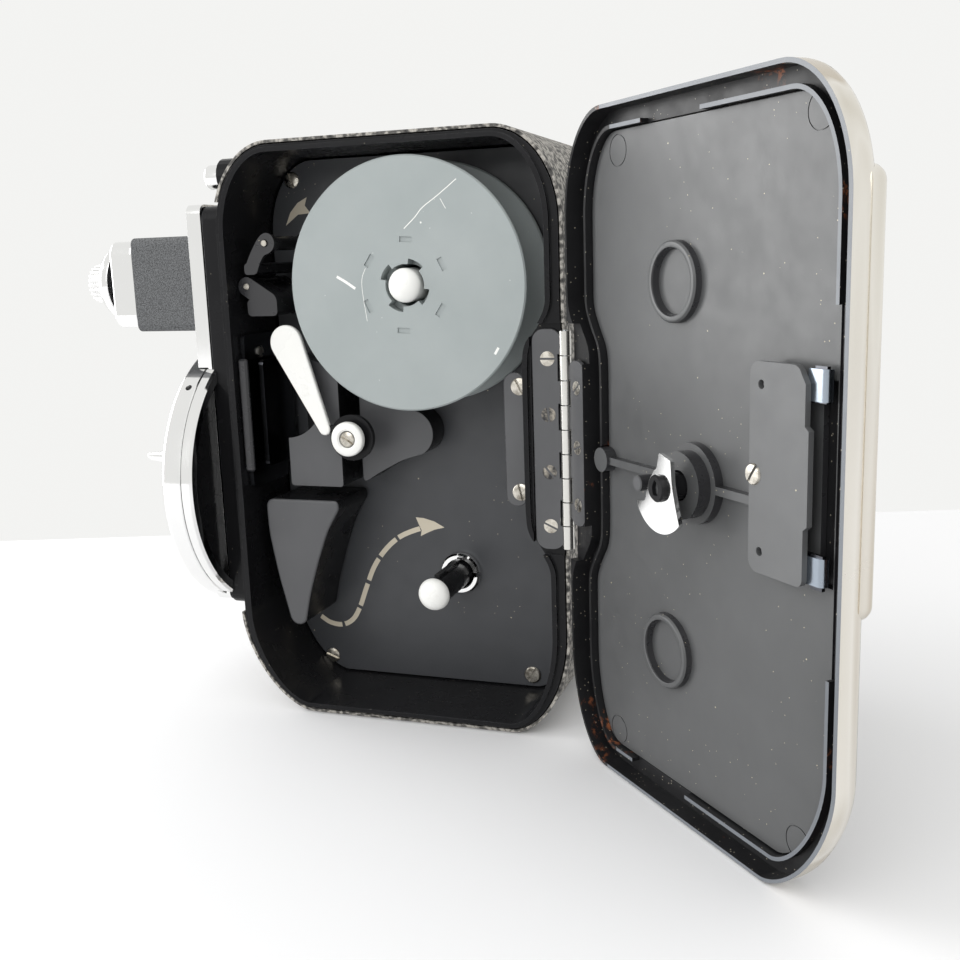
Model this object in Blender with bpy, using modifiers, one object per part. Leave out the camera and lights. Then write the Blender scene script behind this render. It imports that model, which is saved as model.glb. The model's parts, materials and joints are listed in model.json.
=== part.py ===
"""Double-run 8 mm cine camera with its film door open: a Blender model of every separate piece.

Frame: +X is the rear (hinge side), the lenses look along -X, the film door is on the -Y side, +Z is up.
The origin is on the flat of the base plate. Lengths below are in millimetres and become metres in
the helpers. The door is modelled closed and then swung open about its hinge.
"""

import math

import bmesh
import bpy
from mathutils import Matrix, Vector

MM = 0.001
GAP = 0.3                      # clearance between pieces that touch

# Case: x runs front to rear, z bottom to top, y from the door side to the motor side
CASE_METAL = (-37.2, 37.2, 1.0, 122.9)
CASE_LIP = (-36.0, 35.6, 1.5, 122.3)
CASE_INSIDE = (-35.0, 34.6, 2.4, 121.4)
COVER_OUT = (-38.1, 38.1, 0.15, 123.8)
COVER_IN = (-37.5, 37.5, 0.75, 123.2)
CORNER_CENTRES = ((-22.0, 22.0), (25.0, 22.0), (24.0, 105.0), (-24.0, 105.0))
CORNER_POWERS = (1.65, 1.9, 2.0, 2.0)
RIM_Y = -22.0                  # edge of the thin lip
SHOULDER_Y = -21.0             # step outside the lip
FLOOR_Y = -1.2                 # film chamber floor
BACK_Y = 26.0                  # outside of the metal on the motor side
COVER_BACK_Y = 27.1

# Hinge and door
HINGE = (38.33, -21.63)        # x and y of the pin
HINGE_Z = (41.0, 84.5)
KNUCKLES = 9
DOOR_OPEN_DEG = 133.8
DOOR_OUT = (-38.7, 37.0, 0.3, 124.2)
DOOR_CHANNEL = (-37.9, 36.4, 0.9, 123.5)
DOOR_RIB = (-34.4, 33.6, 3.2, 120.9)
DOOR_WELL = (-33.7, 32.9, 3.9, 120.2)
DOOR_LIP_Y = -21.3
DOOR_RIB_Y = -23.4             # top of the light trap's inner rib
DOOR_CHANNEL_Y = -25.0
DOOR_PANEL_Y = -24.8
TOP_GAP = (-2.6, 14.2)         # x of the gaps in the rib
LOW_GAP = (1.2, 18.3)
DOOR_BACK_Y = -26.9
LOCK = (-0.65, 60.7)

# Spools
SPOOL_RADIUS = 25.4
SPOOL_WIDTH = 18.6
SPOOL_NEAR_Y = -21.3
SUPPLY = (5.35, 93.8)
TAKEUP = (7.84, 28.7)

# Film gate
GATE_Z = (54.4, 79.0)
FILM_Y = (-19.2, -3.0)
LEVER_PIVOT = (-10.4, 61.8)
LEVER_TIP = (-24.2, 82.2)
GUIDE_UPPER = (-26.8, 103.2)
GUIDE_LOWER = (-32.7, 94.3)

# Front
TURRET = (-0.5, 51.0)          # y and z of the turret axis
TURRET_RADIUS = 30.7
LENS_CIRCLE = 17.0
LENS_HOLE = 7.6
LENS_SEAT = 9.0                # outer radius of the raised seat round each socket
LENS_ANGLE_DEG = 112.5         # direction of the taking lens from the turret axis, from +Y towards +Z
FRONT_Y = (-17.4, 20.0)
FINDER_Z = (84.9, 105.5)
FINDER_KNOB = (-6.7, 95.6)     # y and z of the focal knob, the finder tube and the release button
FINDER_AXIS = (10.0, 95.6)
RELEASE = (-14.0, 117.6)

# Clockwork: module 1 mm gears
MODULE = 1.0
BARREL_TEETH = 42
TAKEUP_TEETH = 24
IDLER_TEETH = 12
BARREL_ANGLE_DEG = 86.0        # direction of the barrel from the take-up spindle
IDLER_ANGLE_DEG = 180.0        # direction of the crown wheel from the barrel
CLAW_STROKE = 3.81             # one frame of 8 mm film
SHUTTER_Y = 3.5                # the shutter shaft runs level with the barrel, under the crown wheel
SHUTTER_RADIUS = 14.6


def clear_scene():
    """Remove whatever the scene starts with."""
    for obj in list(bpy.data.objects):
        bpy.data.objects.remove(obj, do_unlink=True)


def collection(name):
    """A new collection linked to the scene."""
    made = bpy.data.collections.new(name)
    bpy.context.scene.collection.children.link(made)
    return made


clear_scene()
PARTS = collection("cine_camera")
CUTTERS = collection("cutters")
CUTTERS_OF = {}


def material(name, colour, roughness, metallic=0.0):
    """A Principled BSDF with one colour."""
    made = bpy.data.materials.new(name)
    made.use_nodes = True
    shader = made.node_tree.nodes["Principled BSDF"]
    shader.inputs["Base Color"].default_value = (*colour, 1.0)
    shader.inputs["Roughness"].default_value = roughness
    shader.inputs["Metallic"].default_value = metallic
    made.diffuse_color = (*colour, 1.0)
    return made


BLACK = material("black_enamel", (0.012, 0.012, 0.013), 0.35)
DARK = material("dark_grey_enamel", (0.055, 0.060, 0.066), 0.45)
CLOTH = material("leathercloth", (0.10, 0.098, 0.092), 0.8)
CHROME = material("chrome", (0.80, 0.80, 0.80), 0.12, 1.0)
NICKEL = material("nickel", (0.62, 0.60, 0.55), 0.3, 1.0)
STEEL = material("steel", (0.45, 0.45, 0.46), 0.3, 1.0)
BRASS = material("brass", (0.62, 0.47, 0.20), 0.35, 1.0)
WHITE = material("white_enamel", (0.86, 0.86, 0.84), 0.3)
GREY = material("grey_plastic", (0.40, 0.44, 0.44), 0.5)
GLASS = material("glass", (0.75, 0.80, 0.82), 0.05)


# ---------------------------------------------------------------- helpers

def link(obj, name, mat, smooth=True):
    """Name an object, give it its material and put it with the parts."""
    obj.name = name
    obj.data.name = name
    obj.data.materials.clear()
    obj.data.materials.append(mat)
    for owner in list(obj.users_collection):
        owner.objects.unlink(obj)
    PARTS.objects.link(obj)
    if smooth:
        obj.data.shade_smooth()
        obj.data.set_sharp_from_angle(angle=math.radians(35))
    return obj


TURNS = {
    "X": Matrix(((0, 0, 1), (1, 0, 0), (0, 1, 0))).to_4x4(),
    "Y": Matrix(((1, 0, 0), (0, 0, 1), (0, -1, 0))).to_4x4(),
    "Z": Matrix.Identity(4),
}
# local x and y of a flat outline go to world (y, z), (x, z) and (x, y)
PLANES = {
    "X": Matrix(((0, 0, 1), (1, 0, 0), (0, 1, 0))).to_4x4(),
    "Y": Matrix(((1, 0, 0), (0, 0, -1), (0, 1, 0))).to_4x4(),
    "Z": Matrix.Identity(4),
}


def plate(name, mat, axis, low, high, *loops):
    """A flat outline, with any further loops as holes, from low to high along an axis."""
    data = bpy.data.curves.new(name, "CURVE")
    data.dimensions = "2D"
    data.fill_mode = "BOTH"
    data.extrude = (high - low) / 2 * MM
    for loop in loops:
        spline = data.splines.new("POLY")
        spline.points.add(len(loop) - 1)
        spline.use_cyclic_u = True
        for point, (u, v) in zip(spline.points, loop):
            point.co = (u * MM, v * MM, 0, 1)
    curve = bpy.data.objects.new(name, data)
    PARTS.objects.link(curve)
    middle = Vector((0, 0, 0))
    middle["XYZ".index(axis)] = (low + high) / 2 * MM
    curve.matrix_world = Matrix.Translation(middle) @ PLANES[axis]
    bpy.context.view_layer.update()
    evaluated = curve.evaluated_get(bpy.context.evaluated_depsgraph_get())
    mesh = bpy.data.meshes.new_from_object(evaluated)
    welded = bmesh.new()
    welded.from_mesh(mesh)
    bmesh.ops.remove_doubles(welded, verts=welded.verts, dist=1e-6)
    welded.to_mesh(mesh)
    welded.free()
    solid = bpy.data.objects.new(name, mesh)
    solid.matrix_world = curve.matrix_world.copy()
    bpy.data.objects.remove(curve, do_unlink=True)
    return link(solid, name, mat)


def turned(name, mat, axis, centre, profile, steps=24):
    """A profile of (radius, height) points, from the top down its outer side, turned about an axis."""
    mesh = bpy.data.meshes.new(name)
    shape = bmesh.new()
    points = [shape.verts.new((r * MM, 0, h * MM)) for r, h in profile]
    closed = profile[0][0] > 1e-6
    for start, end in zip(points, points[1:] + points[:1] if closed else points[1:]):
        shape.edges.new((start, end))
    shape.to_mesh(mesh)
    shape.free()
    obj = bpy.data.objects.new(name, mesh)
    obj.matrix_world = Matrix.Translation(Vector(centre) * MM) @ TURNS[axis]
    screw = obj.modifiers.new("turn", "SCREW")
    screw.axis = "Z"
    screw.angle = math.tau
    screw.steps = steps
    screw.render_steps = steps
    screw.use_merge_vertices = True
    screw.merge_threshold = 1e-6
    return link(obj, name, mat)


def block(name, mat, low, high, bevel=0.0):
    """A box between two corners, with rounded edges if asked."""
    shape = bmesh.new()
    bmesh.ops.create_cube(shape, size=1.0)
    size = Vector(high) - Vector(low)
    bmesh.ops.scale(shape, vec=size * MM, verts=shape.verts)
    mesh = bpy.data.meshes.new(name)
    shape.to_mesh(mesh)
    shape.free()
    obj = bpy.data.objects.new(name, mesh)
    obj.location = (Vector(low) + Vector(high)) / 2 * MM
    link(obj, name, mat)
    if bevel:
        round_edges(obj, bevel)
    return obj


def rod(name, mat, axis, centre, radius, low, high, sides=16):
    """A cylinder along an axis, from low to high on it."""
    shape = bmesh.new()
    bmesh.ops.create_cone(shape, cap_ends=True, segments=sides, radius1=radius * MM,
                          radius2=radius * MM, depth=(high - low) * MM)
    mesh = bpy.data.meshes.new(name)
    shape.to_mesh(mesh)
    shape.free()
    obj = bpy.data.objects.new(name, mesh)
    place = list(centre)
    place.insert("XYZ".index(axis), (low + high) / 2)
    obj.matrix_world = Matrix.Translation(Vector(place) * MM) @ TURNS[axis]
    return link(obj, name, mat)


def round_edges(obj, width, segments=1):
    """Bevel the sharp edges of an object."""
    bevel = obj.modifiers.new("round", "BEVEL")
    bevel.width = width * MM
    bevel.segments = segments
    bevel.limit_method = "ANGLE"
    bevel.angle_limit = math.radians(40)


def combine(target, other, operation):
    """Cut an object by another, or join them, and put the other one away with the cutters."""
    boolean = target.modifiers.new(operation.lower(), "BOOLEAN")
    boolean.operation = operation
    boolean.object = other
    boolean.solver = "EXACT"
    PARTS.objects.unlink(other)
    CUTTERS.objects.link(other)
    other.name = "cut_" + other.name
    other.display_type = "WIRE"
    other.hide_render = True
    CUTTERS_OF.setdefault(target.name, []).append(other)
    return target


def cut(target, *others):
    """Take other solids away from a target."""
    for other in others:
        combine(target, other, "DIFFERENCE")
    return target


def join(target, *others):
    """Add other solids to a target as one body."""
    for other in others:
        combine(target, other, "UNION")
    return target


def pivot(name, place, *objects):
    """An empty on a joint axis that carries the objects and whatever cuts them."""
    empty = bpy.data.objects.new(name, None)
    empty.location = Vector(place) * MM
    PARTS.objects.link(empty)
    bpy.context.view_layer.update()
    back = empty.matrix_world.inverted()
    for obj in objects:
        for child in [obj, *CUTTERS_OF.get(obj.name, [])]:
            child.parent = empty
            child.matrix_parent_inverse = back
    return empty


def arc(cx, cy, radius, start, end, count, squash=1.0, power=2.0):
    """Points along an arc in degrees; squash scales v, and a power under 2 flattens it."""
    points = []
    for i in range(count + 1):
        angle = math.radians(start + (end - start) * i / count)
        c, s = math.cos(angle), math.sin(angle)
        u = math.copysign(abs(c) ** (2 / power), c)
        v = math.copysign(abs(s) ** (2 / power), s)
        points.append((cx + radius * u, cy + radius * squash * v))
    return points


def ring(cx, cy, radius, count=24):
    """A full circle as a loop."""
    return arc(cx, cy, radius, 0, 360 - 360 / count, count - 1)


def rounded_box(x0, x1, z0, z1, radius, count=3):
    """A rectangle with round corners as a loop."""
    return (arc(x0 + radius, z0 + radius, radius, 180, 270, count)
            + arc(x1 - radius, z0 + radius, radius, 270, 360, count)
            + arc(x1 - radius, z1 - radius, radius, 0, 90, count)
            + arc(x0 + radius, z1 - radius, radius, 90, 180, count))


def capsule(start, end, r0, r1, count=6):
    """The outline round two circles of different size."""
    du, dv = end[0] - start[0], end[1] - start[1]
    along = math.degrees(math.atan2(dv, du))
    lean = math.degrees(math.acos((r0 - r1) / math.hypot(du, dv)))
    return (arc(*start, r0, along + lean, along + 360 - lean, count)
            + arc(*end, r1, along - lean, along + lean, count))


def case_outline(box, detour=None, count=6):
    """The case's side view: straight sides and four large corners, anticlockwise from the bottom front.

    detour is the x that the rear side steps in to, past the hinge.
    """
    x0, x1, z0, z1 = box
    sides = ((x0, z0), (x1, z0), (x1, z1), (x0, z1))
    loop = []
    for turn, ((cx, cz), (sx, sz), power) in enumerate(zip(CORNER_CENTRES, sides, CORNER_POWERS)):
        a, b = abs(sx - cx), abs(sz - cz)
        loop += arc(cx, cz, a, 180 + 90 * turn, 270 + 90 * turn, count, squash=b / a, power=power)
        if detour and turn == 1:
            step = x1 - detour
            low = [(x1, 38.0), (x1 - 0.35 * step, 39.8), (detour + 0.3, 44.0), (detour, 47.5)]
            loop += low + [(u, HINGE_Z[0] + HINGE_Z[1] - v) for u, v in reversed(low)]
    return loop


def gear_loop(centre, teeth, phase_deg=0.0, addendum=0.75, dedendum=1.2):
    """A gear's outline with narrow trapezoid teeth; phase turns a tooth to that direction."""
    pitch_radius = MODULE * teeth / 2
    step = math.tau / teeth
    loop = []
    for i in range(teeth):
        middle = math.radians(phase_deg) + i * step
        for share, extra in ((-0.27, -dedendum), (-0.10, addendum), (0.10, addendum), (0.27, -dedendum)):
            angle = middle + share * step
            radius = pitch_radius + extra
            loop.append((centre[0] + radius * math.cos(angle), centre[1] + radius * math.sin(angle)))
    return loop


def polar(centre, radius, degrees):
    """A point at a distance and direction from a centre."""
    angle = math.radians(degrees)
    return (centre[0] + radius * math.cos(angle), centre[1] + radius * math.sin(angle))


BARREL = polar(TAKEUP, MODULE * (BARREL_TEETH + TAKEUP_TEETH) / 2, BARREL_ANGLE_DEG)
SHUTTER = (SHUTTER_Y, BARREL[1])


# ---------------------------------------------------------------- case

LENS = polar(TURRET, LENS_CIRCLE, LENS_ANGLE_DEG)       # y and z of the taking lens axis
CLAW_Y = FILM_Y[1] - 1.1                                # perforations run along the film's far edge
CLAW_SLOT = (LENS[1] - 6.2 - CLAW_STROKE, LENS[1] - 3.6)


def build_case():
    """The cast case, its covering, the base plate and the tripod bush."""
    shell = plate("case_shell", BLACK, "Y", RIM_Y, BACK_Y, case_outline(CASE_METAL))
    step = plate("shoulder", BLACK, "Y", RIM_Y - 5, SHOULDER_Y,
                 case_outline(COVER_OUT[:1] + (60.0,) + (-5.0, 130.0)),
                 case_outline(CASE_LIP, detour=30.6))
    inside = plate("inside", BLACK, "Y", RIM_Y - 5, -14.0, case_outline(CASE_INSIDE, detour=29.6))
    deeper = plate("deeper", BLACK, "Y", -14.1, BACK_Y - 1.8, case_outline(CASE_INSIDE))
    hinge_bed = block("hinge_bed", BLACK, (31.2, RIM_Y - 5, 39.4), (40.0, -20.4, 85.9))
    window = plate("light_hole", BLACK, "X", -40, -34, rounded_box(LENS[0] - 3, LENS[0] + 3,
                                                                  LENS[1] - 3, LENS[1] + 3, 0.6, 2))
    shaft = rod("shutter_hole", BLACK, "X", SHUTTER, 1.8, -40, -30)
    claw = block("claw_hole", BLACK, (-40, CLAW_Y - 0.9, CLAW_SLOT[0] - 0.2),
                 (-34, CLAW_Y + 0.9, CLAW_SLOT[1]))
    crank = rod("crank_hole", BLACK, "Y", BARREL, 4.4, 20, 30)
    counter = rod("counter_hole", BLACK, "Y", (-17.0, 96.0), 6.2, 20, 30)
    speed = rod("speed_hole", BLACK, "Y", (-20.0, 34.0), 2.6, 20, 30)
    finder = rod("finder_hole_front", BLACK, "X", FINDER_AXIS, 7.2, -40, -30)
    eyepiece = rod("finder_hole_rear", BLACK, "X", FINDER_AXIS, 7.2, 30, 40)
    tripod = rod("tripod_hole", BLACK, "Z", (0, 10.0), 5.3, -2, 5)
    cut(shell, step, inside, deeper, hinge_bed, window, shaft, crank, counter, speed, finder,
        eyepiece, tripod, claw)

    cover = plate("case_covering", CLOTH, "Y", SHOULDER_Y, COVER_BACK_Y, case_outline(COVER_OUT))
    hollow = plate("cover_hollow", CLOTH, "Y", -40, COVER_BACK_Y - 0.8, case_outline(COVER_IN))
    front = block("cover_front", CLOTH, (-45, FRONT_Y[0] - 0.4, 22.2), (-30, FRONT_Y[1] + 0.4, 112.0))
    base = block("cover_base", CLOTH, (-20.4, -17.4, -2), (23.4, 25.4, 2.5))
    hinge = block("cover_hinge", CLOTH, (31, -30, 39.4), (50, -20.4, 85.9))
    rear = rod("cover_rear", CLOTH, "X", FINDER_AXIS, 9.0, 30, 45)
    crank = rod("cover_crank", CLOTH, "Y", BARREL, 9.4, 20, 30)
    counter = rod("cover_counter", CLOTH, "Y", (-17.0, 96.0), 7.0, 20, 30)
    speed = rod("cover_speed", CLOTH, "Y", (-20.0, 34.0), 9.4, 20, 30)
    button = rod("cover_button", CLOTH, "X", RELEASE, 4.0, -45, -26)
    cut(cover, hollow, front, base, hinge, rear, crank, counter, speed, button)

    base_plate = plate("base_plate", CHROME, "Z", 0.0, 0.7, rounded_box(-20, 23, -17, 25, 4.0),
                       ring(0, 10.0, 4.1, 20))
    bush = turned("tripod_bush", BRASS, "Z", (0, 10.0, 0),
                  [(4.9, 4.8), (4.9, 1.0), (3.8, 1.0), (3.8, 0.0), (3.1, 0.0), (3.1, 4.8)], 20)
    return shell, cover, base_plate, bush


def build_floor():
    """The chamber floor and the second plate that carries the clockwork."""
    inset = (CASE_INSIDE[0] + GAP, CASE_INSIDE[1] - GAP, CASE_INSIDE[2] + GAP, CASE_INSIDE[3] - GAP)
    plate("floor_plate", DARK, "Y", FLOOR_Y, FLOOR_Y + 1.2, case_outline(inset),
          ring(*SUPPLY, 3.4, 20), ring(*TAKEUP, 3.3, 20))
    plate("mechanism_plate", BRASS, "Y", 15.5, 17.0, rounded_box(-31, 31, 8, 84, 6.0),
          ring(*BARREL, 5.0, 24), ring(*TAKEUP, 1.6, 16), ring(-20.0, 34.0, 1.6, 16))


def build_gate():
    """Film gate: plate on the front wall, edge guide, pressure plate, block and lever."""
    aperture = rounded_box(LENS[0] - 2.4, LENS[0] + 2.4, LENS[1] - 1.75, LENS[1] + 1.75, 0.4, 2)
    claw_slot = rounded_box(CLAW_Y - 0.7, CLAW_Y + 0.7, *CLAW_SLOT, 0.3, 2)
    plate("gate_plate", NICKEL, "X", -34.7, -33.7,
          rounded_box(FILM_Y[0] + 0.3, FILM_Y[1], 50.5, 84.0, 1.0, 3), aperture, claw_slot)
    block("film_edge_guide", DARK, (-34.7, -20.6, GATE_Z[0]), (-32.6, -19.3, GATE_Z[1]), 0.4)
    plate("pressure_plate", STEEL, "X", -32.0, -31.0,
          rounded_box(FILM_Y[0] + 2.9, FILM_Y[1] - 0.3, GATE_Z[0] + 0.6, GATE_Z[1] - 0.6, 1.0, 3))

    outline = (arc(-26.4, 51.0, 0.7, 180, 270, 2) + arc(-15.1, 51.0, 0.7, 270, 360, 2)
               + arc(-18.4, 73.2, 4.0, 0, 70, 5) + [(-22.0, 79.0), (-27.1, 79.0)])
    gate_block = plate("gate_block", DARK, "Y", -14.0, FLOOR_Y - GAP, outline)
    pocket = rod("gate_pocket", DARK, "Y", (-27.5, 70.0), 9.0, -20, -4.5, 28)
    cut(gate_block, pocket)
    round_edges(gate_block, 0.35, 1)

    lever = plate("gate_lever", WHITE, "Y", -17.9, -16.7,
                  capsule(LEVER_TIP, (-16.3, 63.7), 3.8, 1.35))
    hub = rod("lever_hub", WHITE, "Y", LEVER_PIVOT, 5.0, -16.9, -15.6, 24)
    neck = block("lever_neck", WHITE, (-16.2, -17.9, 62.8), (-12.6, -16.3, 64.6))
    hole = rod("lever_hole", WHITE, "Y", LEVER_PIVOT, 1.5, -25, -10, 12)
    join(lever, hub, neck)
    cut(lever, hole)
    pivot("gate_lever_axis", (LEVER_PIVOT[0], -17.3, LEVER_PIVOT[1]), lever)

    turned("lever_shoulder_screw", WHITE, "Y", (LEVER_PIVOT[0], 0, LEVER_PIVOT[1]),
           [(0, -9.0), (1.2, -9.0), (1.2, -18.2), (3.7, -18.2), (3.7, -19.1), (3.3, -19.5), (0, -19.5)],
           20)


def build_guards():
    """The tapered loop cover and the boot-shaped spool guard on the chamber floor."""
    cover_outline = [(-32.2, 47.8), (-32.0, 40.0), (-30.3, 30.0)] + arc(-25.9, 21.0, 2.2, 195, 330, 5)
    cover_outline += [(-22.6, 26.0), (-20.0, 34.0), (-17.3, 41.0), (-14.2, 46.0), (-14.6, 47.8)]
    loop_cover = plate("loop_cover", DARK, "Y", -17.3, FLOOR_Y - GAP, cover_outline)
    round_edges(loop_cover, 0.6)

    sole = arc(-0.1, 61.6, 5.2, -60, 95, 10)
    guard_outline = [(-12.0, 50.2)] + [(-7.6, 52.9), (-2.5, 55.6)] + sole
    guard_outline += [(-5.0, 68.6), (-9.3, 71.4), (-12.0, 74.2)]
    guard = plate("spool_guard", DARK, "Y", -8.7, FLOOR_Y - GAP, guard_outline)
    round_edges(guard, 0.5)
    cut(guard, rod("guard_tap", DARK, "Y", LEVER_PIVOT, 1.35, -20, -5.0, 16))


def build_guides():
    """Two film rollers, the arm that holds their free ends and the triangular guide block."""
    arm = plate("guide_arm", DARK, "Y", -19.4, -18.4,
                [(-29.2, 96.8), (-28.1, 99.4), (-27.1, 100.8), (-25.8, 101.1), (-24.7, 102.1), (-24.4, 103.6),
                 (-25.2, 105.0), (-26.4, 105.4), (-27.5, 105.0), (-28.6, 103.9), (-30.1, 101.6), (-31.4, 99.2),
                 (-32.0, 97.2), (-31.6, 96.8)])
    foot = plate("guide_arm_foot", DARK, "Y", -19.4, FLOOR_Y - GAP,
                 rounded_box(-32.0, -29.2, 96.8, 99.2, 0.8, 2))
    join(arm, foot)
    cut(arm, rod("arm_hole", DARK, "Y", GUIDE_UPPER, 0.75, -25, -15, 12))

    guide = plate("upper_guide_block", DARK, "Y", -17.8, FLOOR_Y - GAP,
                  capsule(GUIDE_LOWER, (-27.8, 91.0), 2.0, 2.1, 6))
    heel = plate("guide_heel", DARK, "Y", -17.8, FLOOR_Y - GAP,
                 rounded_box(-32.8, -25.7, 88.0, 91.6, 1.0, 3))
    join(guide, heel)
    cut(guide, rod("roller_seat", DARK, "Y", GUIDE_LOWER, 2.6, -16.6, -3.0, 14))

    upper = turned("upper_roller", BLACK, "Y", (GUIDE_UPPER[0], 0, GUIDE_UPPER[1]),
                   [(0, -1.6), (1.9, -1.6), (1.9, -3.2), (1.5, -3.6), (1.5, -16.4), (1.9, -16.8),
                    (1.9, -18.1), (0.5, -18.1), (0.5, -19.7), (0, -19.7)], 12)
    lower = turned("lower_roller", BLACK, "Y", (GUIDE_LOWER[0], 0, GUIDE_LOWER[1]),
                   [(0, -3.3), (2.0, -3.3), (2.0, -4.6), (1.6, -5.0), (1.6, -15.0), (2.0, -15.4),
                    (2.0, -16.3), (0, -16.3)], 12)
    pivot("upper_roller_axis", (GUIDE_UPPER[0], -10, GUIDE_UPPER[1]), upper)
    pivot("lower_roller_axis", (GUIDE_LOWER[0], -10, GUIDE_LOWER[1]), lower)


# ---------------------------------------------------------------- hinge and door

def hinge_leaf(name, mat, plate_y, x_range, z_range, first):
    """One hinge leaf with every second knuckle, starting at the given one."""
    pitch = (HINGE_Z[1] - HINGE_Z[0]) / KNUCKLES
    leaf = plate(name, mat, "Y", *plate_y, rounded_box(*x_range, *z_range, 2.4, 4))
    for i in range(KNUCKLES):
        low = HINGE_Z[0] + i * pitch
        if i % 2 == first:
            knuckle = plate(f"{name}_knuckle", mat, "Z", low + GAP / 2, low + pitch - GAP / 2,
                            ring(*HINGE, 1.15, 10), ring(*HINGE, 0.65, 8))
            join(leaf, knuckle)
        else:
            notch = block(f"{name}_notch", mat, (HINGE[0] - 1.55, -30, low - GAP / 2),
                          (HINGE[0] + 3, -10, low + pitch + GAP / 2))
            cut(leaf, notch)
    return leaf


def build_hinge():
    """Case leaf, door leaf, pin and the backing plate inside the chamber."""
    reach = HINGE[0] - 0.8
    tall = (HINGE_Z[0] - 0.3, HINGE_Z[1] + 0.3)
    hinge_leaf("case_hinge_leaf", BLACK, (-21.5, -20.7), (31.6, reach), tall, 0)
    rod("hinge_pin", STEEL, "Z", HINGE, 0.4, HINGE_Z[0] - 0.1, HINGE_Z[1] + 0.1, 12)
    plate("hinge_backing_plate", DARK, "Y", -18.6, -17.7, rounded_box(24.6, 29.2, 48.6, 76.0, 2.0, 4))
    return hinge_leaf("door_hinge_leaf", BLACK, (-22.6, -21.8), (31.8, reach), (46.4, 78.9), 1)


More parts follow.
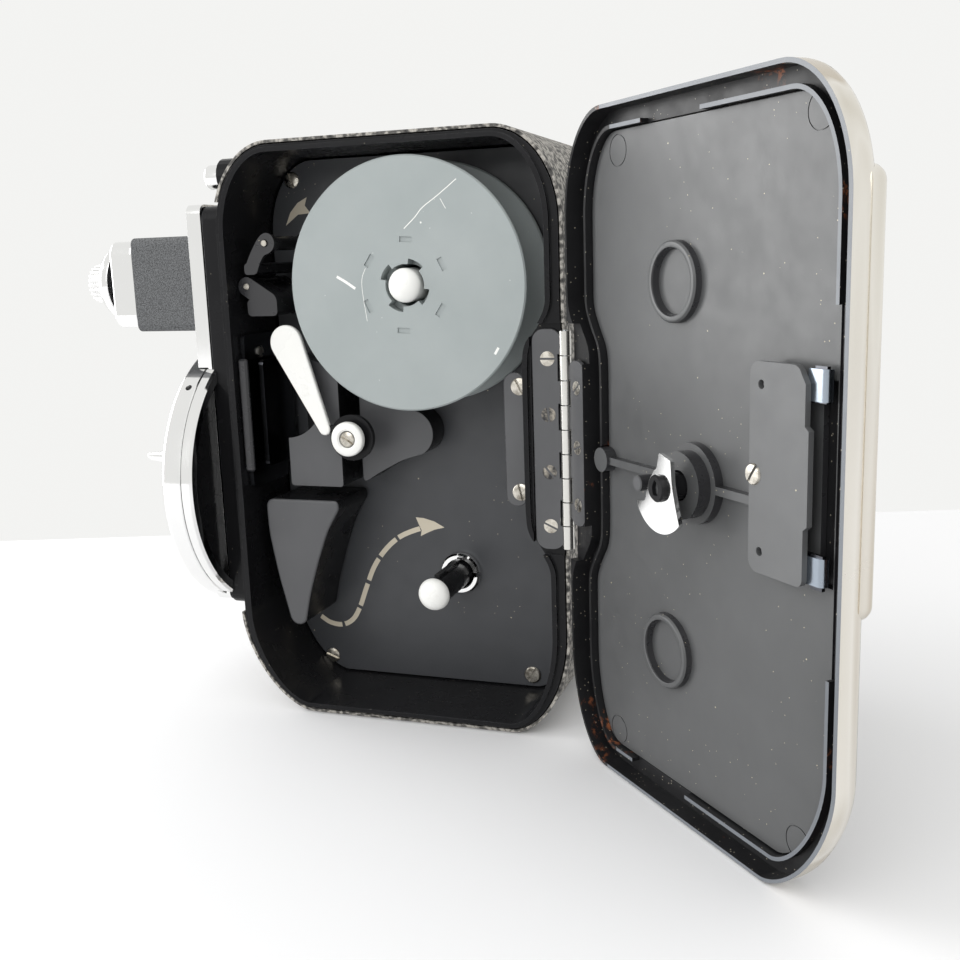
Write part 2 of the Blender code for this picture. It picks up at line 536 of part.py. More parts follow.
def build_door(door_leaf):
    """The door, modelled closed: shell with its light trap, panel, covering and bracket."""
    shell = plate("door_shell", BLACK, "Y", DOOR_BACK_Y, DOOR_LIP_Y, case_outline(DOOR_OUT))
    channel = plate("door_channel", BLACK, "Y", DOOR_CHANNEL_Y, -10,
                    case_outline(DOOR_CHANNEL, detour=31.2), case_outline(DOOR_RIB, detour=28.6))
    above_rib = plate("above_rib", BLACK, "Y", DOOR_RIB_Y, -10, case_outline(DOOR_CHANNEL, detour=31.2))
    well = plate("door_well", BLACK, "Y", DOOR_BACK_Y + 1.0, -10, case_outline(DOOR_WELL, detour=27.9))
    bed = block("door_hinge_bed", BLACK, (31.3, -22.9, 39.4), (45, -10, 85.9))
    front_gap = block("rib_gap_front", BLACK, (-36.0, DOOR_CHANNEL_Y, 37.2), (-32.0, -10, 91.0))
    top_gap = block("rib_gap_top", BLACK, (TOP_GAP[0], DOOR_CHANNEL_Y, 119), (TOP_GAP[1], -10, 122.5))
    low_gap = block("rib_gap_low", BLACK, (LOW_GAP[0], DOOR_CHANNEL_Y, 1.5), (LOW_GAP[1], -10, 5.0))
    boss_way = rod("boss_way", BLACK, "Y", (27.2, 60.7), 2.6, DOOR_BACK_Y + 1.0, -10, 16)
    key_hole = rod("key_hole", BLACK, "Y", LOCK, 2.6, -35, -20, 20)
    cut(shell, channel, above_rib, well, bed, front_gap, top_gap, low_gap, boss_way, key_hole)

    panel_box = (DOOR_WELL[0] + GAP, DOOR_WELL[1] - GAP, DOOR_WELL[2] + GAP, DOOR_WELL[3] - GAP)
    panel = plate("door_panel", DARK, "Y", DOOR_PANEL_Y - 1.0, DOOR_PANEL_Y,
                  case_outline(panel_box, detour=27.6), ring(*LOCK, 2.6, 12))
    root_y, top_y, rib_y = DOOR_PANEL_Y - 0.5, DOOR_PANEL_Y + 1.5, DOOR_PANEL_Y + 1.6
    for name, centre in (("ring_supply", SUPPLY), ("ring_takeup", TAKEUP)):
        join(panel, plate(name, DARK, "Y", root_y, top_y, ring(*centre, 6.8, 20), ring(*centre, 5.4, 20)))
    join(panel,
         plate("lock_base", DARK, "Y", DOOR_PANEL_Y - 0.5, DOOR_PANEL_Y + 1.6,
               ring(*LOCK, 6.9, 16), ring(*LOCK, 2.6, 12)),
         plate("lock_boss", DARK, "Y", DOOR_PANEL_Y + 1.0, DOOR_PANEL_Y + 4.0,
               ring(*LOCK, 5.7, 16), ring(*LOCK, 2.6, 12)),
         block("rib_front", DARK, (-16.5, root_y, LOCK[1] - 0.7), (-5.5, rib_y, LOCK[1] + 0.7)),
         block("rib_rear", DARK, (4.5, root_y, LOCK[1] - 0.7), (25.5, rib_y, LOCK[1] + 0.7)),
         rod("pin_boss", DARK, "Y", (27.2, 60.7), 2.3, DOOR_PANEL_Y - 0.5, DOOR_PANEL_Y + 2.2, 12),
         rod("stop_pin", DARK, "Y", (9.2, 59.6), 1.4, DOOR_PANEL_Y - 0.5, DOOR_PANEL_Y + 5.6, 10))

    covering = plate("door_covering", CLOTH, "Y", DOOR_BACK_Y - 1.0, DOOR_BACK_Y - GAP,
                     case_outline((-36.5, 34.8, 2.5, 122.0)), ring(*LOCK, 8.0, 20))
    front_cut = block("covering_front_cut", CLOTH, (-45, -40, 46.0), (-24.6, -20, 110.0))
    cut(covering, front_cut)
    side_plate = plate("door_side_plate", CHROME, "Y", DOOR_BACK_Y - 1.8, DOOR_BACK_Y - GAP,
                       rounded_box(-38.7, -25.0, 46.6, 109.4, 2.5, 4))
    round_edges(side_plate, 0.7)

    bracket = plate("pressure_bracket", DARK, "Y", -22.6, -21.6,
                    [(-30.2, 53.0)] + arc(-27.6, 52.2, 1.8, 200, 270, 3)
                    + arc(-20.0, 52.4, 2.0, 270, 360, 4) + arc(-20.0, 80.6, 2.0, 0, 90, 4)
                    + arc(-27.6, 80.8, 1.8, 90, 160, 3)
                    + [(-30.2, 80.0), (-30.2, 74.0), (-31.0, 73.4), (-31.0, 59.6), (-30.2, 59.0)],
                    ring(-20.6, 79.2, 0.7, 10), ring(-20.6, 53.8, 0.7, 10))
    for z in (57.0, 76.0):
        join(bracket, block("bracket_foot", DARK, (-24.0, DOOR_PANEL_Y + GAP, z - 2), (-21.0, -22.2, z + 2)))
    spring = plate("bracket_spring", STEEL, "Y", -23.5, -22.9,
                   [(-33.0, 50.4), (-30.6, 50.4), (-30.6, 54.4), (-26.0, 54.4), (-26.0, 78.6),
                    (-30.6, 78.6), (-30.6, 82.6), (-33.0, 82.6), (-33.0, 77.4), (-28.4, 77.4),
                    (-28.4, 55.6), (-33.0, 55.6)])

    key = turned("lock_key", CHROME, "Y", (LOCK[0], 0, LOCK[1]),
                 [(0, -16.2), (2.0, -16.2), (2.0, DOOR_BACK_Y - GAP), (7.0, DOOR_BACK_Y - GAP),
                  (7.0, DOOR_BACK_Y - 1.7), (6.6, DOOR_BACK_Y - 2.1), (0, DOOR_BACK_Y - 2.1)], 20)
    wing = block("key_wing", CHROME,
                 (LOCK[0] - 6.0, DOOR_BACK_Y - 6.1, LOCK[1] - 1.0),
                 (LOCK[0] + 6.0, DOOR_BACK_Y - 1.7, LOCK[1] + 1.0))
    join(key, wing)
    crescent = arc(*LOCK, 7.6, 205, 335, 12)
    lobes = crescent + [(LOCK[0] + 3.6, LOCK[1] + 1.2), (LOCK[0] + 2.2, LOCK[1] + 3.2),
                        (LOCK[0] - 0.4, LOCK[1] + 6.6), (LOCK[0] - 2.8, LOCK[1] + 6.2),
                        (LOCK[0] - 3.1, LOCK[1] + 1.0)]
    cam = plate("lock_cam", CHROME, "Y", -17.9, -17.1, lobes, ring(*LOCK, 2.35, 14))

    pivot_key = pivot("door_lock_axis", (LOCK[0], -20, LOCK[1]), key, cam)
    door = pivot("door_axis", (*HINGE, 62.0), shell, panel, covering, side_plate, bracket, spring, door_leaf)
    pivot_key.parent = door
    pivot_key.matrix_parent_inverse = door.matrix_world.inverted()
    door.rotation_euler.z = math.radians(DOOR_OPEN_DEG)


# ---------------------------------------------------------------- spools

def dome(radius, y_base, height, count=3):
    """Profile points of a domed end that points at the door."""
    return [(radius * math.cos(a), y_base - height * math.sin(a))
            for a in (i * math.pi / 2 / count for i in range(count))] + [(0, y_base - height)]


def build_spools():
    """Supply spool and spindle, take-up spindle, its collar and its gear."""
    far, near = SPOOL_NEAR_Y + SPOOL_WIDTH, SPOOL_NEAR_Y
    spool = turned("supply_spool", GREY, "Y", (SUPPLY[0], 0, SUPPLY[1]),
                   [(SPOOL_RADIUS, far), (SPOOL_RADIUS, far - 1.1), (11, far - 1.1), (11, near + 1.1),
                    (SPOOL_RADIUS, near + 1.1), (SPOOL_RADIUS, near), (4.2, near), (4.2, far)], 36)
    spindle = turned("supply_spindle", WHITE, "Y", (SUPPLY[0], 0, SUPPLY[1]),
                     [(0, 3.0), (4.6, 3.0), (4.6, 0.4), (2.9, 0.4), (2.9, -1.6), (3.7, -2.0)]
                     + dome(3.7, -21.2, 1.9), 18)
    pivot("supply_axis", (SUPPLY[0], -12, SUPPLY[1]), spool, spindle)

    takeup = turned("takeup_spindle", BLACK, "Y", (TAKEUP[0], 0, TAKEUP[1]),
                    [(0, 16.2), (1.3, 16.2), (1.3, 5.0), (2.9, 5.0), (2.9, -18.0), (3.5, -18.3)]
                    + dome(3.5, -18.8, 2.0), 18)
    key = block("takeup_key", BLACK,
                (TAKEUP[0] - 0.6, -17.0, TAKEUP[1]), (TAKEUP[0] + 0.6, -3.6, TAKEUP[1] + 3.7))
    join(takeup, key)
    toward = math.degrees(math.atan2(BARREL[1] - TAKEUP[1], BARREL[0] - TAKEUP[0]))
    gear = plate("takeup_gear", BRASS, "Y", 10.2, 12.2,
                 gear_loop(TAKEUP, TAKEUP_TEETH, toward + 180 / TAKEUP_TEETH), ring(*TAKEUP, 1.6, 12))
    pivot("takeup_axis", (TAKEUP[0], 0, TAKEUP[1]), takeup, gear)
    turned("takeup_collar", CHROME, "Y", (TAKEUP[0], 0, TAKEUP[1]),
           [(4.7, FLOOR_Y - GAP), (4.7, -2.7), (4.3, -3.1), (3.2, -3.1), (3.2, FLOOR_Y - GAP)], 20)


# ---------------------------------------------------------------- front: housing, turret, finder

def build_front():
    """Front housing over the shutter, polished finder base plate, release button."""
    housing = plate("front_housing", BLACK, "X", -42.8, -37.5, rounded_box(*FRONT_Y, 22.6, 111.6, 3.0, 4))
    shutter_room = rod("shutter_room", BLACK, "X", SHUTTER, SHUTTER_RADIUS + 0.9, -42.0, -30, 24)
    light = rod("lens_hole", BLACK, "X", LENS, 3.6, -50, -30, 14)
    axle = rod("turret_axle_hole", BLACK, "X", TURRET, 2.3, -50, -30, 12)
    view = rod("finder_way", BLACK, "X", FINDER_AXIS, 7.2, -50, -30, 18)
    cut(housing, shutter_room, light, axle, view)

    base = plate("front_plate", CHROME, "X", -46.5, -43.1, rounded_box(*FRONT_Y, 23.4, 112.0, 2.0, 4))
    cut(base, rod("base_way", CHROME, "X", FINDER_AXIS, 7.2, -50, -30, 18),
        rod("base_seat", CHROME, "X", TURRET, TURRET_RADIUS + 0.4, -50, -43.7, 40),
        rod("base_axle", CHROME, "X", TURRET, 2.3, -50, -30, 12),
        rod("base_light", CHROME, "X", LENS, 3.6, -50, -30, 14))

    collar = turned("release_collar", BLACK, "X", (0, *RELEASE),
                    [(3.7, -27.0), (3.7, -38.2), (2.9, -38.2), (2.9, -27.0)], 18)
    near_case = (CASE_METAL[0] - GAP, CASE_METAL[1], CASE_METAL[2], CASE_METAL[3] + GAP)
    cut(collar, plate("collar_foot", BLACK, "Y", -20, -8, case_outline(near_case)))
    button = turned("release_button", CHROME, "X", (0, *RELEASE),
                    [(0, -37.5), (2.6, -37.5), (2.6, -41.6), (2.2, -42.0), (0, -42.0)], 18)
    pivot("release_axis", (-42, *RELEASE), button)


def build_turret():
    """Fixed base plate, rotating disc with three lens sockets, handle and hub."""
    base = turned("turret_base_plate", CHROME, "X", (0, *TURRET),
                  [(TURRET_RADIUS, -43.9), (TURRET_RADIUS, -44.4), (2.4, -44.4), (2.4, -43.9)], 36)
    cut(base, rod("ring_light", CHROME, "X", LENS, 3.6, -50, -30, 14))
    disc = turned("turret_disc", CHROME, "X", (0, *TURRET),
                  [(TURRET_RADIUS, -44.6), (TURRET_RADIUS, -48.4), (TURRET_RADIUS - 0.5, -49.3),
                   (TURRET_RADIUS - 1.4, -49.7), (2.4, -49.7), (2.4, -44.6)], 36)
    for i in range(3):
        centre = polar(TURRET, LENS_CIRCLE, LENS_ANGLE_DEG + 120 * i)
        join(disc, rod("seat", CHROME, "X", centre, LENS_SEAT, -50.2, -46.0, 20))
        cut(disc, rod("socket", CHROME, "X", centre, LENS_HOLE, -55, -40, 16))
    tip = polar(TURRET, 25.0, LENS_ANGLE_DEG + 51)
    handle = turned("turret_handle", CHROME, "X", (0, *tip),
                    [(0, -50.0), (2.2, -50.0), (1.5, -51.4), (0.8, -56.0), (0.5, -56.4), (0, -56.4)], 12)
    hub = turned("turret_hub", CHROME, "X", (0, *TURRET),
                 [(0, -42.4), (2.0, -42.4), (2.0, -50.0), (5.0, -50.0), (4.4, -51.6), (0, -52.0)], 16)
    pivot("turret_axis", (-47, *TURRET), disc, handle)
    return base, hub


def build_finder():
    """Finder housing with bezel, focal ring knob, front lens and rear eyepiece."""
    y_low, y_high = -16.8, 19.4
    housing = plate("finder_housing", CLOTH, "X", -61.8, -46.8, rounded_box(y_low, y_high, *FINDER_Z, 1.6, 3))
    cut(housing, rod("housing_way", CLOTH, "X", FINDER_AXIS, 7.2, -70, -30, 18))
    bezel = plate("finder_bezel", CHROME, "X", -68.2, -62.1, rounded_box(y_low + 0.6, y_high - 0.6,
                  FINDER_Z[0] + 0.8, FINDER_Z[1] - 0.6, 3.0, 5), ring(*FINDER_AXIS, 7.2, 18))
    round_edges(bezel, 0.8)
    turned("finder_front_lens", GLASS, "X", (0, *FINDER_AXIS),
           [(0, -62.6), (6.9, -62.6), (6.9, -64.4), (4.8, -65.2), (0, -65.6)], 20)
    serrations = 18
    knob_loop = []
    for i in range(serrations):
        step = 360 / serrations
        knob_loop += [polar(FINDER_KNOB, 4.4, i * step), polar(FINDER_KNOB, 4.4, (i + 0.4) * step),
                      polar(FINDER_KNOB, 4.0, (i + 0.55) * step), polar(FINDER_KNOB, 4.0, (i + 0.85) * step)]
    knob = turned("finder_focal_knob", CHROME, "X", (0, *FINDER_KNOB),
                  [(0, -68.5), (7.2, -68.5), (7.2, -70.0), (8.7, -70.0), (8.7, -71.6), (7.9, -72.8),
                   (6.0, -74.0), (0, -74.8)], 24)
    join(knob, plate("knob_grip", CHROME, "X", -78.4, -74.0, knob_loop))
    pivot("focal_axis", (-68, *FINDER_KNOB), knob)

    eyepiece = turned("finder_eyepiece", BLACK, "X", (0, *FINDER_AXIS),
                      [(8.6, 42.4), (8.6, 38.0), (6.8, 38.0), (6.8, 30.0), (5.2, 30.0), (5.2, 39.8),
                       (7.4, 42.4)], 20)
    turned("eyepiece_lens", GLASS, "X", (0, *FINDER_AXIS),
           [(0, 37.0), (4.9, 36.4), (4.9, 34.6), (0, 34.0)], 16)
    return eyepiece


# ---------------------------------------------------------------- clockwork and controls

def spiral(centre, r_in, r_out, turns, thickness, count):
    """The outline of a flat spiral strip."""
    outer, inner = [], []
    for i in range(count + 1):
        angle = 360 * turns * i / count
        radius = r_in + (r_out - r_in) * i / count
        outer.append(polar(centre, radius + thickness / 2, angle))
        inner.append(polar(centre, radius - thickness / 2, angle))
    return outer + inner[::-1]


def build_clockwork():
    """Spring barrel, mainspring, crown wheel, shutter, claw and governor behind the floor."""
    barrel = turned("spring_barrel", BRASS, "Y", (BARREL[0], 0, BARREL[1]),
                    [(19.0, 14.5), (19.0, 6.6), (3.6, 6.6), (3.6, 7.6), (18.0, 7.6), (18.0, 14.5)], 24)
    down = math.degrees(math.atan2(TAKEUP[1] - BARREL[1], TAKEUP[0] - BARREL[0]))
    join(barrel, plate("barrel_teeth", BRASS, "Y", 10.0, 12.4, gear_loop(BARREL, BARREL_TEETH, down),
                       ring(*BARREL, 18.5, 24)))
    mainspring = plate("mainspring", STEEL, "Y", 8.4, 13.8, spiral(BARREL, 5.2, 16.6, 4, 0.8, 44))
    pivot("barrel_axis", (BARREL[0], 10, BARREL[1]), barrel, mainspring)

    reach = MODULE * (BARREL_TEETH + IDLER_TEETH) / 2
    idler = polar(BARREL, reach, IDLER_ANGLE_DEG)
    slot = IDLER_ANGLE_DEG - down
    tooth = slot / (360 / BARREL_TEETH)
    offset = (tooth - math.floor(tooth)) * 360 / BARREL_TEETH
    phase = IDLER_ANGLE_DEG + 180 + (offset * BARREL_TEETH / IDLER_TEETH) + 180 / IDLER_TEETH
    crown = plate("crown_wheel", BRASS, "Y", 9.8, 12.6, gear_loop(idler, IDLER_TEETH, phase))
    join(crown, rod("crown_arbor", BRASS, "Y", idler, 1.2, 1.0, 14.8, 12),
         rod("crown_disc", BRASS, "Y", idler, 7.4, 6.5, 7.7, 24),
         rod("crown_sleeve", BRASS, "Y", idler, 3.0, 7.2, 10.4, 12))
    pivot("crown_axis", (idler[0], 8, idler[1]), crown)

    sector = arc(*SHUTTER, SHUTTER_RADIUS, 60, 250, 14) + arc(*SHUTTER, 4.0, 250, 420, 6)
    shutter = plate("shutter_disc", BLACK, "X", -41.3, -40.7, sector)
    join(shutter, rod("shutter_shaft", BLACK, "X", SHUTTER, 1.2, -41.7, -20.4, 12),
         rod("shutter_pinion", BLACK, "X", SHUTTER, 2.6, -24.2, -20.8, 12))
    pivot("shutter_axis", (-38, *SHUTTER), shutter)

    governor_at = (-22.0, 34.0)
    governor = rod("governor_rotor", BRASS, "Y", governor_at, 4.0, 5.0, 7.0, 16)
    join(governor, rod("governor_staff", BRASS, "Y", governor_at, 1.0, 2.0, 14.0, 12),
         block("governor_arm", BRASS, (governor_at[0] - 5.6, 9.0, governor_at[1] - 1.2),
               (governor_at[0] + 5.6, 10.6, governor_at[1] + 1.2)))
    pivot("governor_axis", (governor_at[0], 8, governor_at[1]), governor)

    top = CLAW_SLOT[1] - 0.4
    claw = block("film_claw", STEEL, (-39.6, CLAW_Y - 0.4, top - 9.0), (-38.9, CLAW_Y + 0.4, top))
    join(claw, block("claw_tooth", STEEL, (-39.3, CLAW_Y - 0.4, top - 1.0), (-33.9, CLAW_Y + 0.4, top)))
    pivot("claw_axis", (-39.2, CLAW_Y, top), claw)


def build_winding():
    """Crank bearing, crank arm with its arbor, and the folding handle."""
    turned("crank_bearing", CHROME, "Y", (BARREL[0], 0, BARREL[1]),
           [(9.0, 28.6), (9.0, 26.3), (4.1, 26.3), (4.1, 22.0), (2.9, 22.0), (2.9, 28.6)], 24)
    tip = (BARREL[0], BARREL[1] + 24.0)
    arm = plate("crank_arm", CHROME, "Y", 29.0, 31.0, capsule(BARREL, tip, 6.0, 3.6))
    join(arm, rod("crank_arbor", CHROME, "Y", BARREL, 2.5, 8.0, 30.0, 16))
    for side in (-1, 1):
        join(arm, block("crank_ear", CHROME, (tip[0] + side * 2.9 - 0.6, 30.5, tip[1] - 2.2),
                        (tip[0] + side * 2.9 + 0.6, 37.0, tip[1] + 2.2)))
    handle = turned("crank_handle", BLACK, "Y", (tip[0], 0, tip[1]),
                    [(0, 53.0), (2.6, 52.2), (3.4, 50.0), (3.2, 42.0), (2.0, 39.6), (2.0, 33.2),
                     (0, 33.2)], 16)
    fold = pivot("handle_axis", (tip[0], 35.0, tip[1]), handle)
    fold.rotation_euler.x = math.radians(-90)
    crank = pivot("crank_axis", (BARREL[0], 30, BARREL[1]), arm)
    fold.parent = crank
    fold.matrix_parent_inverse = crank.matrix_world.inverted()


def build_controls():
    """Speed dial and footage counter on the motor side."""
    speed = turned("speed_dial", CHROME, "Y", (-20.0, 0, 34.0),
                   [(0, 30.4), (7.6, 30.4), (8.4, 29.6), (8.8, 27.4), (8.8, 26.4), (2.3, 26.4),
                    (2.3, 18.0), (0, 18.0)], 28)
    pivot("speed_axis", (-20, 27, 34.0), speed)
    counter = turned("counter_dial", WHITE, "Y", (-17.0, 0, 96.0),
                     [(0, 25.8), (5.8, 25.8), (5.8, 24.9), (1.2, 24.9), (1.2, 19.0), (0, 19.0)], 18)
    pivot("counter_axis", (-17, 25, 96.0), counter)


build_case()
build_floor()
build_gate()
build_guards()
build_guides()
build_door(build_hinge())
build_spools()
build_front()
build_turret()
build_finder()
build_clockwork()
build_winding()
build_controls()
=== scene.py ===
"""Looks of the cine camera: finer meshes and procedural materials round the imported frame.

Frame: +X is the rear, the lenses look along -X, the film door is on the -Y side and +Z is up. Lengths
are in millimetres and become metres in the helpers. Pieces of the door are made as if it were shut,
then swung to where the frame has it.
"""
import json
import math

import bmesh
import bpy
from mathutils import Matrix, Vector


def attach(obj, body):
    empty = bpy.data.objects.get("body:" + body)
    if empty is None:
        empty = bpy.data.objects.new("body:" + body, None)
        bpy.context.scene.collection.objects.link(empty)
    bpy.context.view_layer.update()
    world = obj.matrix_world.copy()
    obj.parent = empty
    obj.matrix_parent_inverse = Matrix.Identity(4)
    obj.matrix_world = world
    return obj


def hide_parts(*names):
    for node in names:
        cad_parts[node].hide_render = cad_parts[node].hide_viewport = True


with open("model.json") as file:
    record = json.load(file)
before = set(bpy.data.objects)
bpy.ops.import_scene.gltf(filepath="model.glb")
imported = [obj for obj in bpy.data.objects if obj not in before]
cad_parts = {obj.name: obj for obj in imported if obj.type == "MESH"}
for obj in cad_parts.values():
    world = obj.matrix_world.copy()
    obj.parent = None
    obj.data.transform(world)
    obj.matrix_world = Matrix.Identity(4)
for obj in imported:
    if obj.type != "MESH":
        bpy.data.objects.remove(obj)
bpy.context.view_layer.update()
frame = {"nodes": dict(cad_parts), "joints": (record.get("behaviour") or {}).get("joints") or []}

MM = 0.001

# ---------------------------------------------------------------- places read from the frame

JOINTS = {joint["name"]: joint for joint in frame["joints"]}


def axis_of(joint):
    """A joint's point in millimetres."""
    return Vector(JOINTS[joint]["pos_m"]) / MM


HINGE = axis_of("door_hinge")
DOOR_OPEN_DEG = -JOINTS["door_hinge"]["range_deg"][0]
DOOR = (Matrix.Translation(HINGE * MM) @ Matrix.Rotation(math.radians(DOOR_OPEN_DEG), 4, "Z")
        @ Matrix.Translation(-HINGE * MM))
SHUT = DOOR.inverted()


def span(node, shut=False):
    """Lowest and highest corner of a CAD node in millimetres, with the door shut if asked."""
    points = [(SHUT @ v.co if shut else v.co) / MM for v in frame["nodes"][node].data.vertices]
    low = Vector([min(p[i] for p in points) for i in range(3)])
    high = Vector([max(p[i] for p in points) for i in range(3)])
    return low, high


def flat(point):
    """x and z of a point."""
    return (point.x, point.z)


def facing(point):
    """y and z of a point."""
    return (point.y, point.z)


def middle(node, shut=False):
    """Centre of a CAD node in millimetres."""
    low, high = span(node, shut)
    return (low + high) / 2


SUPPLY = flat(axis_of("supply_turn"))
TAKEUP = flat(axis_of("takeup_turn"))
BARREL = flat(axis_of("barrel_turn"))
LEVER = flat(axis_of("gate_lever_swing"))
TURRET = facing(axis_of("turret_turn"))
KNOB = facing(axis_of("focal_knob_turn"))
FINDER = facing(middle("eyepiece_lens"))
RELEASE = facing(middle("release_button"))
LOCK = flat(middle("lock_key", shut=True))
UPPER_ROLLER = flat(axis_of("upper_roller_turn"))
LOWER_ROLLER = flat(axis_of("lower_roller_turn"))

CASE_LOW, CASE_HIGH = span("case_shell")
COVER_LOW, COVER_HIGH = span("case_covering")
FLOOR_LOW, FLOOR_HIGH = span("floor_plate")
DOOR_LOW, DOOR_HIGH = span("door_shell", shut=True)

RIM_Y = CASE_LOW.y                      # edge of the case's lip
CORNERS = ((-22.0, 22.0), (25.0, 22.0), (24.0, 105.0), (-24.0, 105.0))
CORNER_POWERS = (1.65, 1.9, 2.0, 2.0)


# ---------------------------------------------------------------- outlines

def arc(cx, cy, radius, start, end, count, squash=1.0, power=2.0):
    """Points along an arc in degrees; squash scales v, and a power under 2 flattens it."""
    points = []
    for i in range(count + 1):
        angle = math.radians(start + (end - start) * i / count)
        c, s = math.cos(angle), math.sin(angle)
        u = math.copysign(abs(c) ** (2 / power), c)
        v = math.copysign(abs(s) ** (2 / power), s)
        points.append((cx + radius * u, cy + radius * squash * v))
    return points


def ring(centre, radius, count=64):
    """A full circle as a loop."""
    return arc(*centre, radius, 0, 360 - 360 / count, count - 1)


def rounded_box(x0, x1, z0, z1, radius):
    """A rectangle with round corners as a loop."""
    count = 8
    return (arc(x0 + radius, z0 + radius, radius, 180, 270, count)
            + arc(x1 - radius, z0 + radius, radius, 270, 360, count)
            + arc(x1 - radius, z1 - radius, radius, 0, 90, count)
            + arc(x0 + radius, z1 - radius, radius, 90, 180, count))


def capsule(start, end, r0, r1, count=16):
    """The outline round two circles of different size."""
    du, dv = end[0] - start[0], end[1] - start[1]
    along = math.degrees(math.atan2(dv, du))
    lean = math.degrees(math.acos((r0 - r1) / math.hypot(du, dv)))
    return (arc(*start, r0, along + lean, along + 360 - lean, count)
            + arc(*end, r1, along - lean, along + lean, count))


def smooth_corners(points, radius, count=5):
    """Round every corner of an outline with a quadratic curve that starts radius away from it."""
    loop = []
    for i, corner in enumerate(points):
        before, after = Vector(points[i - 1]), Vector(points[(i + 1) % len(points)])
        corner = Vector(corner)
        reach = min(radius, (before - corner).length * 0.48, (after - corner).length * 0.48)
        start = corner + (before - corner).normalized() * reach
        end = corner + (after - corner).normalized() * reach
        for k in range(count + 1):
            t = k / count
            point = start * (1 - t) ** 2 + corner * 2 * t * (1 - t) + end * t ** 2
            loop.append((point.x, point.y))
    return loop


def case_outline(box, detour=None):
    """The case's side view, anticlockwise from the bottom front; the rear steps in to x = detour."""
    x0, x1, z0, z1 = box
    count = 18
    sides = ((x0, z0), (x1, z0), (x1, z1), (x0, z1))
    loop = []
    for turn, ((cx, cz), (sx, sz), power) in enumerate(zip(CORNERS, sides, CORNER_POWERS)):
        a, b = abs(sx - cx), abs(sz - cz)
        loop += arc(cx, cz, a, 180 + 90 * turn, 270 + 90 * turn, count, squash=b / a, power=power)
        if detour and turn == 1:
            step = x1 - detour
            corner = [(x1, 36.5), (x1 - 0.35 * step, 39.8), (detour + 0.3, 44.0), (detour, 48.5)]
            lower = smooth_corners([(x1, 30.0), *corner, (detour, 55.0)], 2.0, 4)[5:-5]
            loop += lower + [(u, 125.5 - v) for u, v in reversed(lower)]
    return loop


def inset(low, high, by):
    """x0, x1, z0, z1 of a box drawn in by the same amount all round."""
    return (low.x + by, high.x - by, low.z + by, high.z - by)


# ---------------------------------------------------------------- mesh tools

AXES = {
    "X": Matrix(((0, 0, 1), (1, 0, 0), (0, 1, 0))).to_4x4(),
    "Y": Matrix(((1, 0, 0), (0, 0, 1), (0, -1, 0))).to_4x4(),
}
PLANES = {
    "X": AXES["X"],
    "Y": Matrix(((1, 0, 0), (0, 0, -1), (0, 1, 0))).to_4x4(),
    "Z": Matrix.Identity(4),
}


def added(name, data, place=Matrix.Identity(4)):
    """A new object in the scene."""
    obj = bpy.data.objects.new(name, data)
    bpy.context.scene.collection.objects.link(obj)
    obj.matrix_world = place
    return obj


def evaluated_mesh(obj):
    """An object's mesh with its modifiers applied."""
    bpy.context.view_layer.update()
    return bpy.data.meshes.new_from_object(obj.evaluated_get(bpy.context.evaluated_depsgraph_get()))


def slab(name, axis, low, high, *loops):
    """A flat outline, with any further loops as holes, from low to high along an axis."""
    data = bpy.data.curves.new(name, "CURVE")
    data.dimensions = "2D"
    data.fill_mode = "BOTH"
    data.extrude = (high - low) / 2 * MM
    for loop in loops:
        spline = data.splines.new("POLY")
        spline.points.add(len(loop) - 1)
        spline.use_cyclic_u = True
        for point, (u, v) in zip(spline.points, loop):
            point.co = (u * MM, v * MM, 0, 1)
    centre = Vector((0, 0, 0))
    centre["XYZ".index(axis)] = (low + high) / 2 * MM
    curve = added(name + "_curve", data, Matrix.Translation(centre) @ PLANES[axis])
    mesh = evaluated_mesh(curve)
    shape = bmesh.new()
    shape.from_mesh(mesh)
    bmesh.ops.remove_doubles(shape, verts=shape.verts, dist=1e-6)
    bmesh.ops.dissolve_limit(shape, angle_limit=0.001, verts=shape.verts, edges=shape.edges)
    shape.to_mesh(mesh)
    shape.free()
    place = curve.matrix_world.copy()
    bpy.data.objects.remove(curve, do_unlink=True)
    return added(name, mesh, place)


def point_of(axis, centre):
    """The point with these two coordinates on the plane across an axis, in metres."""
    u, v = centre
    return Vector((0, u, v) if axis == "X" else (u, 0, v)) * MM


def lathe(name, axis, centre, profile, steps=96):
    """A profile of (radius, height) points, from the top down its outer side, turned about X or Y."""
    shape = bmesh.new()
    points = [shape.verts.new((r * MM, 0, h * MM)) for r, h in profile]
    closed = profile[0][0] > 1e-6
    edges = [shape.edges.new(pair) for pair in
            zip(points, points[1:] + points[:1] if closed else points[1:])]
    bmesh.ops.spin(shape, geom=points + edges, cent=(0, 0, 0), axis=(0, 0, 1), angle=math.tau, steps=steps,
            use_merge=True)
    bmesh.ops.remove_doubles(shape, verts=shape.verts, dist=1e-6)
    bmesh.ops.recalc_face_normals(shape, faces=shape.faces)
    mesh = bpy.data.meshes.new(name)
    shape.to_mesh(mesh)
    shape.free()
    return added(name, mesh, Matrix.Translation(point_of(axis, centre)) @ AXES[axis])


def turned(obj, axis, centre, degrees):
    """Turn a piece about an axis through a centre."""
    pivot = Matrix.Translation(point_of(axis, centre))
    turn = pivot @ Matrix.Rotation(math.radians(degrees), 4, axis) @ pivot.inverted()
    obj.matrix_world = turn @ obj.matrix_world
    return obj


